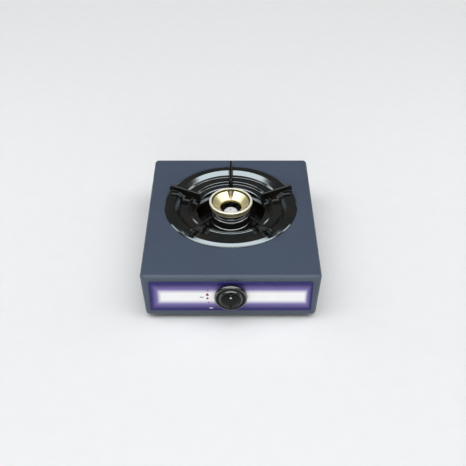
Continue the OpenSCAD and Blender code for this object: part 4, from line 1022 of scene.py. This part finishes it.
class STOVE_OT_burner_cap(bpy.types.Operator):
    """Brass cap: foot, waist with a ring of ports, rim, stepped funnel and three tapering slots."""

    bl_idname = "stove.burner_cap"
    bl_label = "Burner cap"

    def execute(self, context):
        r_rim, z_top = float(CAP_HIGH[0]), float(CAP_HIGH[2])
        z_low = float(CAP_LOW[2])
        foot_z0 = z_low + 6 * MM
        z_rim = z_top - 5 * MM
        hole_r, hole_z = 19.5 * MM, TOP_Z - 4 * MM
        corners = [(25.8, z_low), (25.8, foot_z0), (37.2, foot_z0), (37.2, foot_z0 + 1.8 * MM),
                   (34.0, foot_z0 + 2.4 * MM),
                   (34.0, z_rim - 1.5 * MM), (r_rim / MM - 1.0, z_rim), (r_rim / MM, z_rim + 1.4 * MM),
                   (r_rim / MM, z_top - 1.0 * MM),
                   (r_rim / MM - 1.2, z_top), (35.6, z_top), (34.8, z_top - 0.8 * MM),
                   (34.7, z_top - 3.0 * MM), (33.0, z_top - 3.4 * MM),
                   (19.5, hole_z), (19.5, z_low)]
        profile = rounded_path([(r * MM, z) for r, z in corners],
                               np.array([0.3, 0.3, 0.5, 0.5, 0.8, 1.0, 0.6, 0.8, 0.9, 0.9, 0.5, 0.4, 0.5, 0.5,
                                         1.0, 0.3]) * MM, steps=5)
        cap = piece_from("burner_cap_skin", *lathe(profile, BURNER, 288), sharp=60)
        cutters = []
        top_point, low_point = np.array([33.0 * MM,
                                         z_top - 3.6 * MM]), np.array([hole_r - 1.0 * MM, hole_z + 0.2 * MM])
        along = (top_point - low_point) / np.linalg.norm(top_point - low_point)
        for k in range(CAP_SLOTS):
            turn = math.radians(90 + 360 / CAP_SLOTS * k)
            rings = []
            for s, r in zip(np.linspace(-0.15, 1.0, 9), np.linspace(0.8, 6.4, 9) * MM):
                centre = low_point + (top_point - low_point) * s
                b = np.radians(np.arange(0, 360, 15))
                radial = centre[0] - along[1] * r * np.sin(b) * 0.75
                height = centre[1] + along[0] * r * np.sin(b) * 0.75
                side = r * np.cos(b)
                rings.append(np.column_stack([BURNER[0] + radial * math.cos(turn) - side * math.sin(turn),
                                              BURNER[1] + radial * math.sin(turn) + side * math.cos(turn),
                                              height]))
            cutters.append(piece_from("slot_cut", *loft(rings)))
        port_z = (foot_z0 + 1.8 * MM + z_rim) / 2 - 0.2 * MM
        ports = []
        for k in range(CAP_PORTS):
            turn = 2 * math.pi * (k + 0.5) / CAP_PORTS
            b = np.radians(np.arange(0, 360, 30))
            rings = [np.column_stack([BURNER[0] + r * math.cos(turn) - PORT_R * np.cos(b) * math.sin(turn),
                                      BURNER[1] + r * math.sin(turn) + PORT_R * np.cos(b) * math.cos(turn),
                                      port_z + PORT_R * np.sin(b)]) for r in (32 * MM, 36 * MM)]
            ports.append(loft(rings))
        cutters.append(piece_from("port_cut", *joined(*ports)))
        cut_out(cap, cutters, sharp=32)
        place(cap, "cap", "brass", burner_brass(), "burner_cap")
        return {"FINISHED"}


class STOVE_OT_burner_bowl(bpy.types.Operator):
    """Cast burner bowl: narrow neck, round shoulder, body with a flange, and the hollow inside."""

    bl_idname = "stove.burner_bowl"
    bl_label = "Burner bowl"

    def execute(self, context):
        low, high = extent("burner_bowl")
        r_flange = float(high[0])
        r_bowl, r_neck, r_seat, r_in = r_flange - 1.7 * MM, 30 * MM, 26 * MM, r_flange - 5.7 * MM
        z0, z1 = float(low[2]), float(high[2])
        z_flange, z_shoulder = TOP_Z - 31 * MM, TOP_Z - 15 * MM
        corners = [(0, z0), (r_bowl - 4 * MM, z0), (r_bowl, z0 + 4 * MM), (r_bowl, z_flange - 2 * MM),
                   (r_flange, z_flange - 1.6 * MM), (r_flange, z_flange + 1.6 * MM),
                   (r_bowl, z_flange + 2.6 * MM),
                   (r_bowl, z_shoulder + 0.2 * MM), (r_neck, z_shoulder + 3.2 * MM), (r_neck, z1),
                   (r_seat, z1), (r_seat, z_shoulder + 2 * MM),
                   (r_in, z_shoulder - 6 * MM), (r_in, z0 + 7 * MM), (r_in - 3 * MM, z0 + 4 * MM),
                   (0, z0 + 4 * MM)]
        radii = np.array([0, 3, 3, 1, 1.4, 1.4, 1, 3.4, 2.6, 0.6, 0.6, 2, 2, 2, 2, 0]) * MM
        profile = rounded_path(corners, radii, closed=False, steps=8)
        bowl = piece_from("burner_bowl_skin", *lathe(profile, BURNER, 256))
        look = context.scene.stove_burner
        finish = plain_finish("iron_paint", tuple(look.iron_paint), 0.1, 0.18, scale=500.0, relief=0.00005,
                              ior=2.6)
        place(bowl, "root", "cast_iron", finish, "burner_bowl")
        return {"FINISHED"}


class STOVE_OT_centre_dome(bpy.types.Operator):
    """Bright dome on its post, with a small hole in the middle."""

    bl_idname = "stove.centre_dome"
    bl_label = "Centre dome"

    def execute(self, context):
        low, high = extent("centre_dome")
        r, z_top, z_low = float(high[0]), float(high[2]), float(low[2])
        hole = 1.8 * MM
        angle = np.linspace(8.0, 90, 22)
        crown = np.column_stack([r * np.sin(np.radians(angle)),
                                 z_top - 6 * MM + 1 * MM + 5 * MM * np.cos(np.radians(angle))])
        profile = np.concatenate([[(0, z_top - 5 * MM), (hole, z_top - 5 * MM), (hole, z_top - 0.25 * MM)],
                                  crown,
                                  [(r, z_top - 5.8 * MM), (r - 0.4 * MM, z_top - 6 * MM),
                                   (4 * MM, z_top - 6 * MM),
                                   (4 * MM, z_low), (0, z_low)]])
        dome = piece_from("centre_dome_skin", *lathe(profile, BURNER, 128), sharp=50)
        tone = tuple(context.scene.stove_burner.bright)
        place(dome, "root", "bright_steel", bright_metal("polished_steel", tone, 0.25, 0.35, metallic=0.25),
              "centre_dome")
        return {"FINISHED"}


class STOVE_OT_drip_tray(bpy.types.Operator):
    """Enamelled tray in the well: flange, sloping wall, floor and the lip round the burner."""

    bl_idname = "stove.drip_tray"
    bl_label = "Drip tray"

    def execute(self, context):
        low, high = extent("drip_tray", "tray_floor")
        z0, z1, sheet = float(low[2]), float(high[2]), 0.8 * MM
        r_flange, r_wall = float(high[0]), float(high[0]) - 8.3 * MM
        hole = 43.5 * MM
        outer = [(hole, z0 + 4 * MM), (hole, z0 + 1 * MM), (hole + 1.6 * MM, z0), (68 * MM, z0),
                 (r_wall - 3 * MM, TOP_Z - 6 * MM),
                 (r_wall, TOP_Z - 3 * MM), (r_wall, z1 - sheet), (r_flange, z1 - sheet), (r_flange, z1)]
        inner = [(r_wall - sheet, z1), (r_wall - sheet, TOP_Z - 2.6 * MM),
                 (r_wall - sheet - 3 * MM, TOP_Z - 5.6 * MM), (68 * MM, z0 + sheet),
                 (hole + 2 * MM, z0 + sheet), (hole + sheet, z0 + 1.8 * MM), (hole + sheet, z0 + 4 * MM)]
        radii = np.array([0.3, 1, 1, 12, 2, 1.5, 0.8, 0.3, 0.3, 1.6, 1.6, 2, 11.2, 1, 1, 0.3]) * MM
        profile = rounded_path(outer + inner, radii, steps=6)
        tray = piece_from("drip_tray_skin", *lathe(profile, BURNER, 256))
        notch = lathe([(0, z0 - 2 * MM), (5.2 * MM, z0 - 2 * MM), (5.2 * MM, z0 + 6 * MM), (0, z0 + 6 * MM)],
                      (BURNER[0], BURNER[1] + 47 * MM), 48)
        cut_out(tray, [piece_from("notch_cut", *notch)])
        place(tray, "tray", "enamel", enamel("tray_enamel", 1.8), "drip_tray", "tray_floor")
        return {"FINISHED"}


class STOVE_OT_electrode(bpy.types.Operator):
    """Electrode: glazed ceramic with grooves, bored for its steel pin."""

    bl_idname = "stove.electrode"
    bl_label = "Electrode"

    def execute(self, context):
        low, high = extent("electrode_ceramic")
        r, z0, z1 = float(high[0]), float(low[2]), float(high[2])
        centre = (float(low[0] + high[0]) / 2, float(low[1] + high[1]) / 2)
        pin_r = 1.15 * MM
        grooves = [p for k in range(5) for p in
                   ((r, z1 - (6 + 4 * k) * MM), (r - 0.6 * MM, z1 - (6.8 + 4 * k) * MM),
                    (r, z1 - (7.6 + 4 * k) * MM))]
        corners = [(pin_r, z0), (pin_r, z1), (r, z1)] + grooves + [(r, z0)]
        profile = rounded_path(corners, [0.3 * MM] * len(corners), steps=3)
        ceramic = piece_from("electrode_insulator", *lathe(profile, centre, 48))
        place(ceramic, "root", "ceramic", plain_finish("ceramic", (0.84, 0.82, 0.76), 0.12, 0.25),
              "electrode_ceramic")
        return {"FINISHED"}


# --- Feet, screws and the gas line


class STOVE_OT_feet(bpy.types.Operator):
    """Four rubber feet with a groove round each and a rounded sole."""

    bl_idname = "stove.feet"
    bl_label = "Feet"

    def execute(self, context):
        rubber = plain_finish("rubber", (0.018, 0.018, 0.02), 0.6, 0.8, scale=1300.0)
        for node in FOOT_NODES:
            low, high = extent(node)
            r = float(high[0] - low[0]) / 2
            centre = (float(low[0] + high[0]) / 2, float(low[1] + high[1]) / 2)
            z0, z1, sheet = float(low[2]), float(BODY_LOW[2]), 1 * MM
            corners = [(0, z0 + 0.8 * MM), (r * 0.5, z0 + 0.8 * MM), (r * 0.56, z0), (r, z0),
                       (r, z0 + 4 * MM), (r - 0.9 * MM, z0 + 4.6 * MM),
                       (r - 0.9 * MM, z0 + 5.6 * MM), (r - 0.3 * MM, z0 + 6.2 * MM),
                       (r - 1.4 * MM, z1 - 0.02 * MM), (3.45 * MM, z1 - 0.02 * MM),
                       (3.45 * MM, z1 + sheet + 0.02 * MM), (5.2 * MM, z1 + sheet + 0.02 * MM),
                       (3.0 * MM, float(high[2])), (0, float(high[2]))]
            radii = np.array([0, 0.4, 0.4, 1.6, 0.5, 0.4, 0.4, 0.5, 0.6, 0, 0, 0.4, 0.6, 0]) * MM
            foot = piece_from(node + "_skin",
                              *lathe(rounded_path(corners, radii, closed=False, steps=5), centre, 64),
                              sharp=50)
            place(foot, "root", "rubber", rubber, node)
        return {"FINISHED"}


def pan_head_screw(centre, seat, out, length=4 * MM):
    """A pan-head screw along Y: domed head outside seat on the out side (+1 or -1), shank on the other."""
    x, z = centre
    radius, height = SCREW_HEAD_R, SCREW_HEAD_H
    profile = rounded_path([(0, height), (radius * 0.6, height), (radius, height * 0.55), (radius, 0),
                            (2 * MM, 0), (2 * MM, -length), (0, -length)],
                           np.array([0, 1.6, 1.2, 0.2, 0.2, 0.3, 0]) * MM, closed=False, steps=6)
    profile[:, 1] = seat + out * profile[:, 1]
    return lathe(profile, (x, z), 48, axis="Y")


def cross_cut(centre, seat, out):
    """Two crossed bars that sink a cross recess into a pan head."""
    shells = []
    for w, d in ((2.1 * MM, 0.42 * MM), (0.42 * MM, 2.1 * MM)):
        outline = rounded_box(w, d, 0.2 * MM, 1, 3) + centre
        shells.append(loft([upright(outline,
                                    seat + out * h) for h in (0.35 * SCREW_HEAD_H, 1.5 * SCREW_HEAD_H)]))
    return shells


class STOVE_OT_screws(bpy.types.Operator):
    """Pan-head screws of the rear panel and the valve, with cross recesses."""

    bl_idname = "stove.screws"
    bl_label = "Screws"

    def execute(self, context):
        zinc = bright_metal("zinc_plate", (0.70, 0.71, 0.70), 0.28, 0.42, 900.0)
        low, high = extent("rear_panel_screws")
        r = SCREW_HEAD_R
        rear = [(x, z) for x in (low[0] + r, high[0] - r) for z in (low[2] + r, high[2] - r)]
        low_v, high_v = extent("valve_screws")
        front = [(x, KNOB_Z) for x in (low_v[0] + r, high_v[0] - r)]
        for name, node, spots, seat, out in (("rear_screws", "rear_panel_screws", rear,
                                              float(high[1]) - SCREW_HEAD_H, 1),
                                             ("front_screws", "valve_screws", front,
                                              float(low_v[1]) + SCREW_HEAD_H, -1)):
            screws = piece_from(name, *joined(*[pan_head_screw(s, seat, out) for s in spots]))
            for k in (0, 1):
                cuts = joined(*[cross_cut(s, seat, out)[k] for s in spots])
                cut_out(screws, [piece_from("recess_cut", *cuts)], sharp=40)
            place(screws, "root", "zinc_steel", zinc, node)
        return {"FINISHED"}


class STOVE_OT_hose_nozzle(bpy.types.Operator):
    """Brass hose nozzle: threaded end, hexagon, plain length and two barbs, bored through."""

    bl_idname = "stove.hose_nozzle"
    bl_label = "Hose nozzle"

    def execute(self, context):
        low, high = extent("hose_nozzle")
        x, z = float(low[0] + high[0]) / 2, float(low[2] + high[2]) / 2
        y0, y1 = float(low[1]), float(high[1])
        hex_y = float(BODY_HIGH[1]) - 1 * MM
        r, bore = 4.75 * MM, 2.5 * MM
        barb = (y1 - 1 * MM - (hex_y + 15 * MM)) / 2
        corners = [(bore, y0), (6 * MM, y0), (6 * MM, hex_y + 3 * MM), (r, hex_y + 3 * MM),
                   (r, hex_y + 15 * MM), (r - 0.9 * MM, hex_y + 15 * MM + barb),
                   (r, hex_y + 15.05 * MM + barb), (r - 0.9 * MM, hex_y + 15 * MM + 2 * barb),
                   (r - 1.2 * MM, y1), (bore, y1)]
        tail = lathe(rounded_path(corners,
                                  np.array([0.2, 0.4, 0.2, 0.2, 0.1, 0.15, 0.15, 0.2, 0.3, 0.2]) * MM,
                                  steps=4), (x, z), 72, axis="Y")
        rings = []
        for scale, y in ((0.93, hex_y), (1.0, hex_y + 0.6 * MM), (1.0, hex_y + 5.4 * MM),
                         (0.93, hex_y + 6 * MM)):
            hexagon = rounded_path(arc(0, 0, 9 * MM * scale, 0, 300, 5), [0.5 * MM] * 6, steps=3)
            rings.append(upright(hexagon + (x, z), y))
        nozzle = piece_from("hose_nozzle_skin", *joined(tail, loft(rings)), sharp=38)
        metal = bright_metal("plain_brass", (0.80, 0.60, 0.29), 0.24, 0.38, 800.0)
        place(nozzle, "root", "brass", metal, "hose_nozzle")
        dress(metal, "nozzle_nut", "gas_jet", "valve_plug")
        return {"FINISHED"}


class STOVE_OT_inner_parts(bpy.types.Operator):
    """Finishes of the CAD parts inside the body: rails, valve, igniter, pipe, mixing tube and springs."""

    bl_idname = "stove.inner_parts"
    bl_label = "Inner parts"

    def execute(self, context):
        dress(bright_metal("zinc_sheet", (0.62, 0.64, 0.66), 0.32, 0.5, 500.0), "front_rail", "rear_rail",
              "burner_bar",
              "burner_stand", "stand_screws", "valve_bonnet", "electrode_clip", "air_shutter")
        dress(bright_metal("die_cast", (0.66, 0.67, 0.68), 0.42, 0.58, 1100.0), "valve_body", "inlet_pipe")
        dress(bright_metal("spring_steel", (0.60, 0.61, 0.63), 0.2, 0.3), "spindle_spring", "igniter_spring",
              "valve_spindle", "knob_insert", "igniter_hammer", "electrode_pin")
        dress(plain_finish("igniter_plastic", (0.66, 0.64, 0.56), 0.4, 0.55), "igniter_housing")
        dress(plain_finish("lead_sheath", (0.42, 0.02, 0.016), 0.4, 0.55), "ignition_lead")
        dress(plain_finish("piezo_ceramic", (0.72, 0.68, 0.58), 0.3, 0.45), "piezo_element")
        dress(plain_finish("raw_iron", (0.10, 0.098, 0.095), 0.6, 0.8, scale=600.0, relief=0.0002),
              "mixing_tube")
        return {"FINISHED"}


# --- Stage


def area_light(name, power, size, location, aim):
    """A rectangular soft lamp that points at aim."""
    lamp = bpy.data.lights.new(name, "AREA")
    lamp.energy = power
    lamp.shape = "RECTANGLE"
    lamp.size, lamp.size_y = size
    obj = bpy.data.objects.new(name, lamp)
    bpy.context.scene.collection.objects.link(obj)
    obj.location = location
    direction = np.asarray(aim, float) - np.asarray(location, float)
    yaw = math.atan2(direction[0], -direction[1]) if abs(direction[:2]).max() > 1e-6 else 0.0
    tilt = math.atan2(math.hypot(direction[0], direction[1]), -direction[2])
    obj.rotation_euler = (-tilt, 0, yaw)
    return obj


def studio_sky():
    """Dim light from all round with one soft bright oval overhead.

    A direction is turned so that the oval's middle is overhead. Its sideways and front-to-back slopes, each
    divided by the tangent of the oval's half width or half depth, give the distance from the middle, which
    is 1 on the oval's edge.
    """
    look = bpy.context.scene.stove_stage
    world = bpy.data.worlds.new("studio")
    world.use_nodes = True
    nodes, links = world.node_tree.nodes, world.node_tree.links
    turn = nodes.new("ShaderNodeVectorRotate")
    turn.rotation_type = "X_AXIS"
    turn.inputs["Angle"].default_value = -look.sky_lean
    links.new(nodes.new("ShaderNodeTexCoord").outputs["Generated"], turn.inputs["Vector"])
    split = nodes.new("ShaderNodeSeparateXYZ")
    links.new(turn.outputs[0], split.inputs[0])
    x, y, z = split.outputs
    up = math_node(nodes, links, "MAXIMUM", z, 0.001)
    wide = math_node(nodes, links, "DIVIDE", x,
                     math_node(nodes, links, "MULTIPLY", up, math.tan(look.sky_wide)))
    deep = math_node(nodes, links, "DIVIDE", y,
                     math_node(nodes, links, "MULTIPLY", up, math.tan(look.sky_deep)))
    away = distance_node(nodes, links, wide, deep)
    ramp = nodes.new("ShaderNodeMapRange")
    ramp.interpolation_type = "SMOOTHSTEP"
    links.new(away, ramp.inputs["Value"])
    for socket, value in (("From Min", 0.8), ("From Max", 1.25), ("To Min", look.sky_high),
                          ("To Max", look.sky_low)):
        ramp.inputs[socket].default_value = value
    links.new(ramp.outputs[0], nodes["Background"].inputs["Strength"])
    nodes["Background"].inputs["Color"].default_value = (0.97, 0.99, 1.0, 1.0)
    return world


class STOVE_OT_stage(bpy.types.Operator):
    """Camera, pale floor, two side lamps, a low lamp in front and the studio sky."""

    bl_idname = "stove.stage"
    bl_label = "Stage"

    def execute(self, context):
        look = context.scene.stove_stage
        camera = bpy.data.objects.new("camera", bpy.data.cameras.new("camera"))
        context.scene.collection.objects.link(camera)
        camera.data.lens = look.lens
        camera.data.sensor_width = 36.0
        camera.data.shift_x = look.camera_shift
        camera.location = (0.0, BODY_LOW[1] - look.camera_back, TOP_Z + look.camera_up)
        camera.rotation_euler = (math.pi / 2 - look.camera_pitch, 0, 0)
        context.scene.camera = camera

        side = np.linspace(-24, 24, 9)
        x, y = np.meshgrid(side, side)
        grid = np.stack([x, y, np.zeros_like(x)], -1).reshape(-1, 3)
        mesh = bpy.data.meshes.new("floor")
        mesh.from_pydata(grid.tolist(), [], grid_faces(9, 9, False, False).tolist())
        floor = bpy.data.objects.new("floor", mesh)
        context.scene.collection.objects.link(floor)
        floor.data.materials.append(plain_finish("floor", tuple(look.floor), 0.7, 0.9, scale=40.0,
                                                 variation=0.985))

        middle = (BURNER[0], BURNER[1], TOP_Z)
        area_light("left", look.side, (0.3, 0.9), (-1.1, 0.2, 0.8), middle)
        area_light("right", look.side, (0.3, 0.9), (1.1, 0.2, 0.8), middle)
        area_light("front", look.front, (1.4, 0.35), (0.0, -2.0, 0.75), (0.0, 0.0, 0.05))
        context.scene.world = studio_sky()
        context.scene.view_settings.view_transform = "Standard"
        return {"FINISHED"}


class STOVE_PT_pieces(bpy.types.Panel):
    """Lists the pieces in the 3D view's sidebar."""

    bl_idname = "STOVE_PT_pieces"
    bl_label = "Table Gas Stove"
    bl_space_type = "VIEW_3D"
    bl_region_type = "UI"
    bl_category = "Stove"

    def draw(self, context):
        for operator in OPERATORS:
            self.layout.operator(operator.bl_idname)
        for group in (context.scene.stove_body, context.scene.stove_burner, context.scene.stove_stage):
            for name in group.bl_rna.properties.keys():
                if name not in ("rna_type", "name"):
                    self.layout.prop(group, name)


SETTINGS = {"stove_body": StoveBodySettings, "stove_burner": StoveBurnerSettings,
            "stove_stage": StoveStageSettings}
OPERATORS = (
    STOVE_OT_stage, STOVE_OT_body, STOVE_OT_fascia, STOVE_OT_dial_marks, STOVE_OT_knob, STOVE_OT_pan_ring,
    STOVE_OT_pan_arms, STOVE_OT_burner_cap, STOVE_OT_burner_bowl, STOVE_OT_centre_dome, STOVE_OT_drip_tray,
    STOVE_OT_electrode, STOVE_OT_feet, STOVE_OT_screws, STOVE_OT_hose_nozzle, STOVE_OT_inner_parts,
)


def register():
    for group in SETTINGS.values():
        bpy.utils.register_class(group)
    for name, group in SETTINGS.items():
        setattr(bpy.types.Scene, name, PointerProperty(type=group))
    for operator in OPERATORS:
        bpy.utils.register_class(operator)
    bpy.utils.register_class(STOVE_PT_pieces)


def unregister():
    bpy.utils.unregister_class(STOVE_PT_pieces)
    for operator in reversed(OPERATORS):
        bpy.utils.unregister_class(operator)
    for name, group in reversed(SETTINGS.items()):
        delattr(bpy.types.Scene, name)
        bpy.utils.unregister_class(group)


def main():
    """Builds every piece in order."""
    register()
    for operator in OPERATORS:
        family, name = operator.bl_idname.split(".")
        getattr(getattr(bpy.ops, family), name)()


if __name__ == "__main__":
    main()
